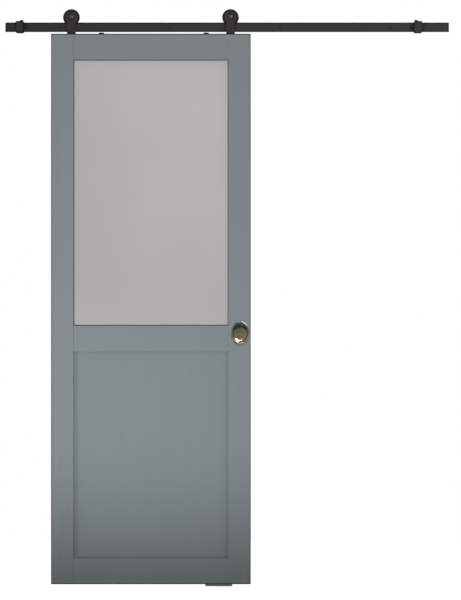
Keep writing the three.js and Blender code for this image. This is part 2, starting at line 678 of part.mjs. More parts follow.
function crossRail(member) {
  const body = block(
    [STILE_WIDTH + FIT, leafFront, member.from], [LEAF_WIDTH - STILE_WIDTH - FIT, leafBack, member.to]);
  return cut(
    join(body, tenonBar(member, 0)),
    glassRebate(), panelGroove(), guideGroove(), ...discScrewPilots(), ...footScrewPilots());
}

function lowerPanel() {
  const inset = STILE_WIDTH - PANEL_GROOVE_DEPTH + FIT;
  return block(
    [inset, -PANEL_THICKNESS / 2, bottomRailTop - PANEL_GROOVE_DEPTH + FIT],
    [LEAF_WIDTH - inset, PANEL_THICKNESS / 2, midRailBottom + PANEL_GROOVE_DEPTH - FIT]);
}

/** A block between two depths that fills the glazed opening, grown on all sides, or shrunk if negative. */
function openingBlock(grow, y0, y1) {
  return block(
    [STILE_WIDTH - grow, y0, midRailTop - grow],
    [LEAF_WIDTH - STILE_WIDTH + grow, y1, topRailBottom + grow]);
}

function glassPane() {
  return openingBlock(REBATE_WIDTH - FIT, glassFront, glassBack);
}

function glazingGasket() {
  const [front, back] = [lipBack + FIT, lipBack + FIT + GASKET_THICKNESS];
  return cut(
    openingBlock(REBATE_WIDTH - FIT, front, back),
    openingBlock(-GASKET_REVEAL, front - OVERRUN, back + OVERRUN));
}

/** The four beads behind the glass: two the full width of the rebate, two upright between them. */
function glazingBeads() {
  const [front, back] = [glassBack + FIT, leafBack];
  const [left, right] = [STILE_WIDTH, LEAF_WIDTH - STILE_WIDTH];
  const reach = REBATE_WIDTH - FIT;
  return {
    bottom: block([left - reach, front, midRailTop - reach], [right + reach, back, midRailTop]),
    top: block([left - reach, front, topRailBottom], [right + reach, back, topRailBottom + reach]),
    left: block([left - reach, front, midRailTop + FIT], [left, back, topRailBottom - FIT]),
    right: block([right, front, midRailTop + FIT], [right + reach, back, topRailBottom - FIT]),
  };
}

/** The solid that fills a bowl, straight from `mouth` to `rim` and then curved down to `bottom`. */
function bowlFilling(grow, mouth, rim, bottom) {
  const curve = PULL_BOWL_CURVE.map(([share, down]) => [share, rim + down * (bottom - rim)]);
  return turned([[0, mouth], [1, mouth], ...curve, [0, bottom]], MEDIUM)
    .scale(PULL_BOWL.halfWidth + grow, 1, PULL_BOWL.halfHeight + grow);
}

/** Oval flush pull whose rim lies on a face at y = 0 and whose bowl goes in towards +y. */
function flushPull() {
  const { halfWidth, halfHeight, thickness, faceShare, slope } = PULL_RIM;
  const rimFront = -FIT - thickness;
  const floor = PULL_BOWL.depth - 2 * FIT;
  const rim = turned(
    [[0, rimFront], [faceShare, rimFront], [1, rimFront + slope], [1, -FIT], [0, -FIT]], MEDIUM)
    .scale(halfWidth, 1, halfHeight);
  const cup = bowlFilling(PULL_WALL, -2 * FIT, -FIT, floor + PULL_WALL);
  return cut(join(rim, cup), bowlFilling(0, rimFront - OVERRUN, rimFront, floor));
}

/** The disc under the rail that keeps the wheels from lifting off it. */
function antiJumpDisc() {
  const disc = turned([
    [0, 0], [DISC_RADIUS, 0], [DISC_RADIUS, DISC_HEIGHT - DISC_CHAMFER],
    [DISC_RADIUS - DISC_CHAMFER, DISC_HEIGHT], [0, DISC_HEIGHT],
  ], MEDIUM);
  const hole = countersunkHole(DISC_SCREW, DISC_HEIGHT + OVERRUN)
    .rotateX(-Math.PI / 2)
    .translate(0, 0, DISC_HEIGHT);
  return cut(upright(disc), hole);
}

function leaf() {
  const group = new THREE.Group();
  group.position.set(LEAF_LEFT_EDGE, railMidY, leafBottomZ);
  group.add(piece('left_stile', stile(0, STILE_WIDTH), 'leaf'));
  group.add(piece('right_stile', stile(LEAF_WIDTH - STILE_WIDTH, LEAF_WIDTH), 'leaf'));
  for (const [name, member] of Object.entries(members)) {
    group.add(piece(`${name}_rail`, crossRail(member), 'leaf'));
  }
  group.add(piece('lower_panel', lowerPanel(), 'leaf'));
  group.add(piece('glass_pane', glassPane(), 'glass'));
  group.add(piece('glazing_gasket', glazingGasket(), 'rubber'));
  for (const [place, bead] of Object.entries(glazingBeads())) {
    group.add(piece(`glazing_bead_${place}`, bead, 'leaf'));
  }
  group.add(piece('front_flush_pull', flushPull(), 'brass', [pullX, leafFront, PULL_LEVEL]));
  group.add(piece('rear_flush_pull', flushPull().rotateZ(Math.PI), 'brass', [pullX, leafBack, PULL_LEVEL]));
  const discBase = LEAF_HEIGHT + FIT;
  ['left', 'right'].forEach((side, i) => {
    const screw = countersunkScrew(DISC_SCREW, DISC_SCREW_LENGTH).rotateX(-Math.PI / 2);
    group.add(piece(`${side}_anti_jump_disc`, antiJumpDisc(), 'bronze', [discXs[i], 0, discBase]));
    group.add(piece(`${side}_anti_jump_screw`, screw, 'bronze', [discXs[i], 0, discBase + DISC_HEIGHT]));
  });
  return group;
}

// ---------------------------------------------------------------- the whole door

const door = new THREE.Group();
door.add(railFixings());
door.add(endStop('left', -RAIL_LENGTH / 2 + STOP_INSET_LEFT, 1));
door.add(endStop('right', RAIL_LENGTH / 2 - STOP_INSET_RIGHT, -1));
door.add(floorGuide());
door.add(leaf());
door.add(hanger('left', LEAF_LEFT_EDGE + hangerXs[0]));
door.add(hanger('right', LEAF_LEFT_EDGE + hangerXs[1]));

export default door;
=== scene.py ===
"""Looks of a sliding barn door: rail, roller hangers, end stops, floor guide and a half-glazed leaf.

Metres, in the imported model's own frame: +X along the rail, +Y into the wall, +Z up. Every place comes from
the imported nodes' boxes. Each sub-assembly is a class that builds its meshes and hands them to the bench,
which dresses them and ties them to their bodies.
"""

from __future__ import annotations

import json
import logging
import math
from dataclasses import dataclass
from enum import Enum
from typing import Mapping, Protocol

import bmesh
import bpy
import numpy as np
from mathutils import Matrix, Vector

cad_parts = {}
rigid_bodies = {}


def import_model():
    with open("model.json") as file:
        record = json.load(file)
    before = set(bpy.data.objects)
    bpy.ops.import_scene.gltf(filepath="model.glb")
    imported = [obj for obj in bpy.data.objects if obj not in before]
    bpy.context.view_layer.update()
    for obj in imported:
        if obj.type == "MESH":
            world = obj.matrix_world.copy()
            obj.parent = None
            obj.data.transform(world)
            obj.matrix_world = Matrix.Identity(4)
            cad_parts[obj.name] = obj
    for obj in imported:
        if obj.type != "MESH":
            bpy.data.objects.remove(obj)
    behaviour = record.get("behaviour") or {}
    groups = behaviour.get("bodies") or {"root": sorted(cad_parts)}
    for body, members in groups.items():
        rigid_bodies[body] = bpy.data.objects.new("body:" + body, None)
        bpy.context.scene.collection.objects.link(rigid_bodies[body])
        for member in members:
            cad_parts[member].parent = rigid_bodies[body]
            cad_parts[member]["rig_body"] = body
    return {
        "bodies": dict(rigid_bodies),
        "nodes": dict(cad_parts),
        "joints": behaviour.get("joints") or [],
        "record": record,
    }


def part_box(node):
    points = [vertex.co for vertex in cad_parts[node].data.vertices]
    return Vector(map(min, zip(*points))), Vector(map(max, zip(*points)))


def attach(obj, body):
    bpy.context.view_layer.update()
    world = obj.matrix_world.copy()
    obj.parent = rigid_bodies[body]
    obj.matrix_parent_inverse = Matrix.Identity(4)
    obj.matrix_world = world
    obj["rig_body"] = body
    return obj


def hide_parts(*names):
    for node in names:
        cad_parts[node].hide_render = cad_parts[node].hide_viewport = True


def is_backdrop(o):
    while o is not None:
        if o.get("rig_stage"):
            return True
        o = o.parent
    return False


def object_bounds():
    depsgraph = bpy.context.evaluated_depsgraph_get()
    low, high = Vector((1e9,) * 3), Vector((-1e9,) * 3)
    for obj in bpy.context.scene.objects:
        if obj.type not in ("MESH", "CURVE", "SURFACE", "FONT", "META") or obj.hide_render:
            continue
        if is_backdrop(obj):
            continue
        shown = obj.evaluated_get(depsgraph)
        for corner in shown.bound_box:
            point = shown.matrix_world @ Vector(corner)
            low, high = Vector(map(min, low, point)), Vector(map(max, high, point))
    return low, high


LOG = logging.getLogger("barn_door")

MM = 0.001
MERGE_DISTANCE = 1e-6
FLAT_ANGLE = math.radians(0.5)  # faces that turn less than this are one flat
CREASE_ANGLE = math.radians(36)  # edges that turn more than this stay crisp
FINE = 96  # points round a large turned piece
COARSE = 48  # points round a screw
HEXAGON = math.tau / 6
CORNER_SHARE = 0.4  # how much of a side a rounded corner may take
BESIDE_CORNER = 1.2  # where the point beyond a rounded corner lies, in radii
WHITE = (1.0, 1.0, 1.0, 1.0)
EVENLY = (1.0, 1.0, 1.0)

Colour = tuple[float, float, float]
Socket = bpy.types.NodeSocket


@dataclass(frozen=True)
class Block:
    """An upright box, as its middle and its half sizes."""

    middle: tuple[float, ...]
    half: tuple[float, ...]

    @classmethod
    def between(cls, low: np.ndarray, high: np.ndarray) -> "Block":
        """The box between two opposite corners."""
        return cls(tuple(((low + high) / 2).tolist()), tuple(((high - low) / 2).tolist()))


class Slot(Enum):
    """The record's material slots."""

    BRONZE = "dark_bronze"
    BUFFER = "buffer_rubber"
    GASKET = "gasket_rubber"
    ZINC = "zinc_plate"
    ALUMINIUM = "guide_aluminium"
    STEEL = "bearing_steel"
    PAINT = "leaf_paint"
    GLASS = "frosted_glass"
    BRASS = "antique_brass"


class Grain(Enum):
    """Which way the timber's grain runs, as how often the pattern repeats along X, Y and Z."""

    UPRIGHT = (1.0, 1.0, 0.02)
    LEVEL = (0.02, 1.0, 1.0)


class Facing(Enum):
    """Which way a turned piece's axis points: the rows are its own x, y and z in the model's frame."""

    FRONT = ((1, 0, 0), (0, 0, 1), (0, -1, 0))
    BACK = ((-1, 0, 0), (0, 0, 1), (0, 1, 0))
    UP = ((1, 0, 0), (0, 1, 0), (0, 0, 1))
    RIGHT = ((0, 1, 0), (0, 0, 1), (1, 0, 0))
    LEFT = ((0, -1, 0), (0, 0, 1), (-1, 0, 0))


# ------------------------------------------------------------------------------------------------ surfaces


def soften(corners: list[tuple[float, ...]], radius: float, steps: int = 5) -> np.ndarray:
    """Rounds the inner corners of an open outline, whose first two columns are its plane.

    A corner C gives way to the curve (1-t)^2 A + 2t(1-t) C + t^2 B, where A and B lie one radius before
    and after it, or less on a short side. One more point beyond each keeps the flats flat to the light.

    Args:
        corners: The outline's corners, one row each; further columns are carried along.
        radius: How far from the corner the rounding starts.
        steps: Points on each curve.

    Returns:
        The rounded outline, one point per row.
    """
    points = np.array(corners, float)
    sides = np.diff(points, axis=0)
    lengths = np.maximum(np.linalg.norm(sides[:, :2], axis=1), 1e-9)
    reach = np.minimum(radius, CORNER_SHARE * np.minimum(lengths[:-1], lengths[1:]))[:, None]
    before = -sides[:-1] / lengths[:-1, None] * reach
    after = sides[1:] / lengths[1:, None] * reach
    middle = points[1:-1]
    t = np.linspace(0, 1, steps)[:, None, None]
    curve = (1 - t) ** 2 * (middle + before) + 2 * t * (1 - t) * middle + t**2 * (middle + after)
    outside = [(middle + BESIDE_CORNER * way)[None] for way in (before, after)]
    rows = np.concatenate([outside[0], curve, outside[1]])
    rounded = rows.transpose(1, 0, 2).reshape(-1, points.shape[1])
    return np.vstack([points[:1], rounded, points[-1:]])


def angles(count: int) -> np.ndarray:
    """Equal angles round a full turn, from 0."""
    return np.arange(count) * (math.tau / count)


def hexagon(count: int) -> np.ndarray:
    """A hexagon's radius over its corner radius at each angle: cos 30 / cos(angle from the flat's middle)."""
    from_flat = np.mod(angles(count), HEXAGON) - HEXAGON / 2
    return math.cos(HEXAGON / 2) / np.cos(from_flat)


def spun(radii: np.ndarray, heights: np.ndarray) -> np.ndarray:
    """Carries rings round an axis: the points (r cos a, r sin a, h) of every height h and angle a.

    Args:
        radii: The radius r by height and angle.
        heights: The height h of each row.

    Returns:
        The grid of points, by height and angle.
    """
    turn = angles(radii.shape[1])
    level = np.broadcast_to(heights[:, None], radii.shape)
    return np.stack([radii * np.cos(turn), radii * np.sin(turn), level], axis=-1)


def profile_rings(profile: np.ndarray, count: int) -> np.ndarray:
    """Radii by row and angle of a profile of (radius, height) pairs.

    A third column says how far each ring is a hexagon: its radius is r (1 + share (hexagon - 1)).

    Args:
        profile: The profile's rows.
        count: Points round the axis.

    Returns:
        The radius at each row and angle.
    """
    share = profile[:, 2:3] if profile.shape[1] > 2 else np.zeros((len(profile), 1))
    return profile[:, :1] * (1 + share * (hexagon(count) - 1))


def turned(profile: np.ndarray, count: int = FINE) -> np.ndarray:
    """The grid of a profile carried once round its axis."""
    return spun(profile_rings(profile, count), profile[:, 1])


def ring(corners: list[tuple[float, ...]], radius: float, count: int = FINE) -> np.ndarray:
    """A ring whose closed section has all its corners rounded.

    The outline starts and ends in the middle of its first side, so that every corner is an inner one.

    Args:
        corners: The section's (radius, height) corners.
        radius: How far from each corner the rounding starts.
        count: Points round the axis.

    Returns:
        The ring's grid.
    """
    start = tuple((a + b) / 2 for a, b in zip(corners[0], corners[1]))
    return turned(soften([start, *corners[1:], corners[0], start], radius), count)


@dataclass(frozen=True)
class Thread:
    """A screw thread on an upright axis."""

    core: float
    crest: float
    pitch: float
    rows_per_turn: int = 8

    def rings(self, top: float, bottom: float, count: int) -> tuple[np.ndarray, np.ndarray]:
        """Radii and heights of the threaded length.

        The radius is core + (crest - core) * rise. Rise is a triangle wave of height / pitch + angle / turn,
        and fades out over the first and last pitch.

        Args:
            top: Height at which the thread starts.
            bottom: Height at which it ends.
            count: Points round the axis.

        Returns:
            The radius by row and angle, and the height of each row.
        """
        rows = max(2, round((top - bottom) / self.pitch * self.rows_per_turn))
        heights = np.linspace(top, bottom, rows)
        phase = heights[:, None] / self.pitch + angles(count) / math.tau
        wave = 1 - np.abs(2 * np.mod(phase, 1) - 1)
        fade = np.clip(np.minimum(top - heights, heights - bottom) / self.pitch, 0, 1)[:, None]
        return self.core + (self.crest - self.core) * wave * fade, heights


def stand(grid: np.ndarray, place: np.ndarray, facing: Facing) -> np.ndarray:
    """Puts a grid made about its own z axis where it belongs, with that axis pointing as asked."""
    return grid @ np.array(facing.value, float) + place


def grid_faces(rows: int, columns: int, first: int) -> np.ndarray:
    """The four-sided faces of a grid whose columns close into a ring, for vertices numbered from first."""
    index = first + np.arange(rows * columns).reshape(rows, columns)
    index = np.column_stack([index, index[:, :1]])
    return np.stack([index[:-1, :-1], index[1:, :-1], index[1:, 1:], index[:-1, 1:]], axis=-1).reshape(-1, 4)


def to_object(name: str, shape: bmesh.types.BMesh) -> bpy.types.Object:
    """Makes a linked object of a bmesh, smooth apart from its creases."""
    mesh = bpy.data.meshes.new(name)
    shape.to_mesh(mesh)
    shape.free()
    mesh.shade_smooth()
    mesh.set_sharp_from_angle(angle=CREASE_ANGLE)
    piece = bpy.data.objects.new(name, mesh)
    bpy.context.scene.collection.objects.link(piece)
    return piece


def merged(points: np.ndarray, faces: np.ndarray) -> bmesh.types.BMesh:
    """A bmesh of points and faces whose coinciding points are one."""
    mesh = bpy.data.meshes.new("loose")
    mesh.from_pydata(points.tolist(), [], faces.tolist())
    shape = bmesh.new()
    shape.from_mesh(mesh)
    bpy.data.meshes.remove(mesh)
    bmesh.ops.remove_doubles(shape, verts=shape.verts, dist=MERGE_DISTANCE)
    return shape


def skin(name: str, *grids: np.ndarray) -> bpy.types.Object:
    """Closes grids into one piece: seams and poles are merged, and faces point outwards.

    Args:
        name: The piece's name.
        *grids: Grids of points in the model's frame; each one's columns close into a ring.

    Returns:
        The new object.
    """
    counts = [grid.shape[0] * grid.shape[1] for grid in grids]
    firsts = np.cumsum([0, *counts[:-1]])
    faces = np.concatenate([grid_faces(*grid.shape[:2], first) for grid, first in zip(grids, firsts)])
    shape = merged(np.concatenate([grid.reshape(-1, 3) for grid in grids]), faces)
    bmesh.ops.dissolve_degenerate(shape, edges=shape.edges, dist=MERGE_DISTANCE)
    bmesh.ops.recalc_face_normals(shape, faces=shape.faces)
    return to_object(name, shape)


# ------------------------------------------------------------------------------------------------ finishes


class Recipe:
    """The nodes of one finish, built round the Principled shader that a new material starts with."""

    def __init__(self, name: str, settings: Mapping[str, object]) -> None:
        """Starts a material.

        Args:
            name: The material's name.
            settings: Values of the shader's own sockets.
        """
        self.material = bpy.data.materials.new(name)
        self.material.use_nodes = True
        self.shader = self.material.node_tree.nodes["Principled BSDF"]
        self._fill(self.shader, settings)

    def _fill(self, node: bpy.types.Node, inputs: Mapping[str, object]) -> None:
        """Links the sockets among the inputs, and sets the rest as values."""
        for name, value in inputs.items():
            if isinstance(value, Socket):
                self.material.node_tree.links.new(value, node.inputs[name])
            else:
                node.inputs[name].default_value = value

    def add(self, kind: str, inputs: Mapping[str, object], **settings: object) -> bpy.types.Node:
        """Adds a node.

        Args:
            kind: The node's Blender type, without its ShaderNode prefix.
            inputs: Its inputs by name, as values or as sockets to link.
            **settings: Its other properties.

        Returns:
            The new node.
        """
        node = self.material.node_tree.nodes.new(f"ShaderNode{kind}")
        for name, value in settings.items():
            setattr(node, name, value)
        self._fill(node, inputs)
        return node

    def place(self, stretch: Colour = EVENLY) -> Socket:
        """The piece's own coordinates, times the stretch on each axis."""
        coordinates = self.add("TexCoord", {}).outputs["Object"]
        return self.add("Mapping", {"Vector": coordinates, "Scale": stretch}).outputs["Vector"]

    def noise(self, where: Socket, size: float, detail: float = 2.0, roughness: float = 0.5) -> Socket:
        """Cloudy noise from 0 to 1 whose blots are about size metres wide."""
        inputs = {"Vector": where, "Scale": 1 / size, "Detail": detail, "Roughness": roughness}
        return self.add("TexNoise", inputs).outputs["Fac"]

    def math(self, operation: str, *values: object) -> Socket:
        """The result of one piece of arithmetic on numbers or sockets."""
        return self.add("Math", dict(enumerate(values)), operation=operation).outputs[0]

    def offset(self, middle: tuple[float, ...], scale: Colour = EVENLY) -> Socket:
        """The way from a middle to a point, times the scale on each axis."""
        own = self.add("TexCoord", {}).outputs["Object"]
        away = self.add("VectorMath", {0: own, 1: middle}, operation="SUBTRACT").outputs[0]
        return self.add("VectorMath", {0: away, 1: scale}, operation="MULTIPLY").outputs[0]

    def depths(self, block: Block) -> tuple[Socket, Socket, Socket]:
        """How far inside a box's faces a point lies, on each axis: half size - |place - middle|."""
        size = self.add("VectorMath", {0: self.offset(block.middle)}, operation="ABSOLUTE").outputs[0]
        inside = self.add("VectorMath", {0: block.half, 1: size}, operation="SUBTRACT").outputs[0]
        return tuple(self.add("SeparateXYZ", {"Vector": inside}).outputs)

    def dimmed(self, colour: Socket, share: Socket) -> Socket:
        """The colour times a share of its brightness."""
        return self.add("VectorMath", {0: colour, "Scale": share}, operation="SCALE").outputs[0]

    def run(self, block: Block, lean: float) -> Socket:
        """A number from 0 at a box's foot to 1 at its top, plus the lean times the same across it.

        It is (1 + up + lean * across) / 2, for the way up and across from the middle in half sizes.
        """
        away = self.offset(block.middle, (lean / block.half[0], 0.0, 1 / block.half[2]))
        height = self.add("VectorMath", {0: away, 1: EVENLY}, operation="DOT_PRODUCT").outputs["Value"]
        return self.span(height, 0.0, 1.0, -1.0, 1.0)

    def distance(self, middle: tuple[float, ...], across: float, up: float) -> Socket:
        """How far a point lies from a level axis through a middle, in shares of a half width and height."""
        away = self.offset(middle, (1 / across, 0.0, 1 / up))
        return self.add("VectorMath", {0: away}, operation="LENGTH").outputs["Value"]

    def ramp(self, factor: Socket, stops: Mapping[float, Colour]) -> Socket:
        """A colour that runs through the stops as the factor goes from 0 to 1."""
        node = self.add("ValToRGB", {"Fac": factor})
        elements = node.color_ramp.elements
        for extra in range(len(stops) - len(elements)):
            elements.new(0.5 + 0.1 * extra)
        for element, (position, colour) in zip(elements, sorted(stops.items())):
            element.position = position
            element.color = (*colour, 1.0)
        return node.outputs["Color"]

    def span(self, factor: Socket, low: float, high: float, start: float = 0.3, end: float = 0.7) -> Socket:
        """A number from low to high as the factor goes from start to end."""
        inputs = {"Value": factor, "From Min": start, "From Max": end, "To Min": low, "To Max": high}
        return self.add("MapRange", inputs).outputs["Result"]

    def bump(self, height: Socket, depth: float, under: Socket | None = None) -> Socket:
        """A normal roughened by a height pattern that is depth metres deep, over another normal if given."""
        inputs = {"Height": height, "Distance": depth, "Strength": 1.0}
        if under is not None:
            inputs["Normal"] = under
        return self.add("Bump", inputs).outputs["Normal"]

    def feed(self, **sources: Socket) -> None:
        """Links sources to the shader's sockets, whose names are written with _ for a space."""
        self._fill(self.shader, {name.replace("_", " "): source for name, source in sources.items()})


class Finish(Protocol):
    """Anything that can make a material."""

    def make(self) -> bpy.types.Material:
        """Makes the material."""


def shade(colour: Colour, share: float) -> Colour:
    """The colour times a share of its brightness."""
    return tuple(share * part for part in colour)


@dataclass(frozen=True)
class PaintedTimber:
    """Sprayed eggshell paint that follows the grain of the timber under it; its edges get painted shade."""

    name: str
    grain: Grain
    leaf: Block
    hollow: Block | None = None  # the sunk field that this piece fills
    colour: Colour = (0.216, 0.246, 0.258)
    tone: float = 0.025  # how much lighter and darker the colour drifts
    fibre: float = 1.7 * MM
    stipple: float = 0.55 * MM
    arris_shade_band: tuple[float, float] = (2.4 * MM, 4.6 * MM)  # the painted shade line along the arrises, and where it has faded out
    # the brightness that the painted shade leaves on upright arrises, then on level ones
    arris_shade_side: float = 0.38
    arris_shade_end: float = 0.14
    recess_shade_reach: tuple[float, float, float] = (22 * MM, 18 * MM, 9 * MM)  # the painted recess shade's reach at the left, right and foot
    # how bright the painted recess shade leaves the paint at the left, right and foot
    recess_shade_share: tuple[float, float, float] = (0.7, 0.84, 0.6)

    def arrises(self, recipe: Recipe) -> Socket:
        """How bright the painted shade lines along the leaf's arrises leave the paint.

        A point's distance from an upright arris is the larger of its depths on X and Y, and from a level
        one the larger of those on Z and Y.
        """
        across, through, up = recipe.depths(self.leaf)
        side = recipe.span(recipe.math("MAXIMUM", across, through), self.arris_shade_side, 1.0, *self.arris_shade_band)
        end = recipe.span(recipe.math("MAXIMUM", up, through), self.arris_shade_end, 1.0, *self.arris_shade_band)
        return recipe.math("MULTIPLY", side, end)

    def corners(self, recipe: Recipe, hollow: Block) -> Socket:
        """How bright the painted shade along the sunk field's left, right and foot leaves the paint."""
        x, _, z = recipe.add("SeparateXYZ", {"Vector": recipe.place()}).outputs
        low, high = np.subtract(hollow.middle, hollow.half), np.add(hollow.middle, hollow.half)
        insides = [recipe.math("SUBTRACT", *ends) for ends in ((x, low[0]), (high[0], x), (z, low[2]))]
        shares = [
            recipe.span(inside, recess_shade_share, 1.0, 0.0, reach)
            for inside, recess_shade_share, reach in zip(insides, self.recess_shade_share, self.recess_shade_reach)]
        return recipe.math("MINIMUM", recipe.math("MINIMUM", *shares[:2]), shares[2])

    def make(self) -> bpy.types.Material:
        """Makes the material."""
        recipe = Recipe(self.name, {"Specular IOR Level": 0.35})
        own = recipe.place()
        fibres = recipe.noise(recipe.place(self.grain.value), self.fibre, detail=5.0, roughness=0.6)
        drift = recipe.noise(recipe.place(self.grain.value), 30 * self.fibre, detail=3.0)
        stipple = recipe.noise(own, self.stipple, detail=3.0)
        tone = recipe.math("ADD", drift, fibres)
        stops = {0.0: shade(self.colour, 1 - self.tone), 1.0: shade(self.colour, 1 + self.tone)}
        paint = recipe.ramp(recipe.span(tone, 0.0, 1.0, 0.8, 1.2), stops)
        # painted shade: in the sunk field's corners, or along the leaf's arrises
        share = self.corners(recipe, self.hollow) if self.hollow else self.arrises(recipe)
        recipe.feed(
            Base_Color=recipe.dimmed(paint, share),
            Roughness=recipe.span(stipple, 0.44, 0.56),
            Normal=recipe.bump(fibres, 0.05 * MM, under=recipe.bump(stipple, 0.03 * MM)),
        )
        return recipe.material


@dataclass(frozen=True)
class PowderCoat:
    """Dark bronze powder coat: a fine sandy texture with a faint fleck."""

    name: str = "dark_bronze_powder_coat"
    colour: Colour = (0.034, 0.0265, 0.0238)
    sand: float = 0.7 * MM
    orange_peel: float = 3.0 * MM

    def painted_light_and_shade(self, recipe: Recipe, coat: Socket) -> Socket:
        """The coat's colour with painted light and shade, which the plain coat has none of."""
        return coat

    def make(self) -> bpy.types.Material:
        """Makes the material."""
        recipe = Recipe(self.name, {"Specular IOR Level": 0.2})
        own = recipe.place()
        sand = recipe.noise(own, self.sand, detail=4.0, roughness=0.6)
        peel = recipe.noise(own, self.orange_peel)
        stops = {0.3: shade(self.colour, 0.75), 0.55: self.colour, 0.75: shade(self.colour, 1.7)}
        recipe.feed(
            Base_Color=self.painted_light_and_shade(recipe, recipe.ramp(sand, stops)),
            Roughness=recipe.span(sand, 0.46, 0.62),
            Normal=recipe.bump(sand, 0.06 * MM, under=recipe.bump(peel, 0.08 * MM)),
        )
        return recipe.material


@dataclass(frozen=True)
class BarCoat(PowderCoat):
    """The coat on a flat bar, with painted shade along the edges of its face."""

    bar: Block = Block((0.0, 0.0, 0.0), EVENLY)
    edge: tuple[float, float] = (3.2 * MM, 5 * MM)  # the painted shade along the edges, and where it has faded out
    edge_shade_share: float = 0.04

    def painted_light_and_shade(self, recipe: Recipe, coat: Socket) -> Socket:
        """The coat's colour with painted shade near the bar's ends, top and bottom."""
        across, _, up = recipe.depths(self.bar)
        nearest = recipe.math("MINIMUM", across, up)
        return recipe.dimmed(coat, recipe.span(nearest, self.edge_shade_share, 1.0, *self.edge))


class Rings(Enum):
    """Painted light and shade on the coat round an axle, as (share of the wheel's radius, brightness)."""

    # WHEEL: painted light in the dished ring, shade at the rim; STRAP: painted shadow round the screw head
    WHEEL = ((0.0, 1.0), (0.45, 0.9), (0.52, 1.7), (0.63, 2.0), (0.71, 1.1), (0.78, 0.45), (1.0, 0.3))
    STRAP = ((0.0, 1.0), (0.25, 0.4), (0.36, 0.45), (0.44, 1.0), (0.5, 1.4), (0.53, 1.4), (0.58, 1.0))


@dataclass(frozen=True)
class RingedCoat(PowderCoat):
    """The coat round an axle: painted shade in the hollows and round the rim, and painted light between."""

    axle: tuple[float, ...] = (0.0, 0.0, 0.0)
    rings: Rings = Rings.WHEEL
    radius: float = 31 * MM
    palest: float = 2.0

    def painted_light_and_shade(self, recipe: Recipe, coat: Socket) -> Socket:
        """The coat's colour times the painted brightness of the ring that a point lies in."""
        share = recipe.distance(self.axle, self.radius, self.radius)
        stops = {place: (level / self.palest,) * 3 for place, level in self.rings.value}
        return recipe.dimmed(coat, recipe.math("MULTIPLY", recipe.ramp(share, stops), self.palest))


@dataclass(frozen=True)
class EtchedGlass:
    """Warm grey glass whose front is etched to an even satin, with painted light towards its upper right."""

    pane: Block
    name: str = "etched_grey_glass"
    low: Colour = (0.456, 0.434, 0.429)
    high: Colour = (0.607, 0.583, 0.576)
    lean: float = 0.4  # how much of the painted light's change goes sideways
    hazy: float = 0.1
    tooth: float = 0.4 * MM

    def make(self) -> bpy.types.Material:
        """Makes the material."""
        settings = {"Transmission Weight": 0.12, "IOR": 1.5, "Specular IOR Level": 0.4}
        recipe = Recipe(self.name, settings)
        tooth = recipe.noise(recipe.place(), self.tooth, detail=3.0)
        haze = recipe.span(recipe.noise(recipe.place(), 400 * MM), -self.hazy, self.hazy)
        # painted light: lighter from foot to top and towards the right, plus random haze
        level = recipe.math("ADD", recipe.run(self.pane, self.lean), haze)
        recipe.feed(
            Base_Color=recipe.ramp(level, {0.0: self.low, 1.0: self.high}),
            Roughness=recipe.span(tooth, 0.34, 0.46),
            Normal=recipe.bump(tooth, 0.012 * MM),
        )
        return recipe.material


@dataclass(frozen=True)
class AgedBrass:
    """Polished olive brass with painted reflection: browner at the foot, teal at the top, grey on the rim."""

    pull: Block
    name: str = "aged_brass"
    # the dish's brass tones, laid out from foot to top as a painted reflection
    brown: Colour = (0.58, 0.43, 0.26)
    olive: Colour = (0.37, 0.36, 0.205)
    teal: Colour = (0.19, 0.24, 0.235)
    pale: Colour = (0.62, 0.6, 0.52)  # the painted highlight on the rim's foot
    slate: Colour = (0.2, 0.25, 0.265)  # the rim's top, in its painted reflection
    rim: tuple[float, float] = (0.8, 0.86)  # where the rim starts, as shares of the oval
    lean: float = -0.35  # how much of the painted reflection's change goes sideways
    cloud: float = 16 * MM
    cloudy: float = 0.2

    def make(self) -> bpy.types.Material:
        """Makes the material."""
        recipe = Recipe(self.name, {"Metallic": 1.0})
        own = recipe.place()
        cloud = recipe.noise(own, self.cloud, detail=4.0)
        fine = recipe.noise(own, 0.9 * MM, detail=3.0)
        clouds = recipe.span(cloud, -self.cloudy, self.cloudy)
        # painted reflection: the colour runs from the foot to the top, with random clouds
        reflection_run = recipe.math("ADD", recipe.run(self.pull, self.lean), clouds)
        oval = recipe.distance(self.pull.middle, self.pull.half[0], self.pull.half[2])
        parts = {
            "Fac": recipe.span(oval, 0.0, 1.0, *self.rim),
            "Color1": recipe.ramp(reflection_run, {0.15: self.brown, 0.5: self.olive, 0.85: self.teal}),
            "Color2": recipe.ramp(reflection_run, {0.1: self.pale, 0.8: self.slate}),
        }
        recipe.feed(
            Base_Color=recipe.add("MixRGB", parts).outputs["Color"],
            Roughness=recipe.span(cloud, 0.22, 0.14),
            Normal=recipe.bump(fine, 0.012 * MM),
        )
        return recipe.material


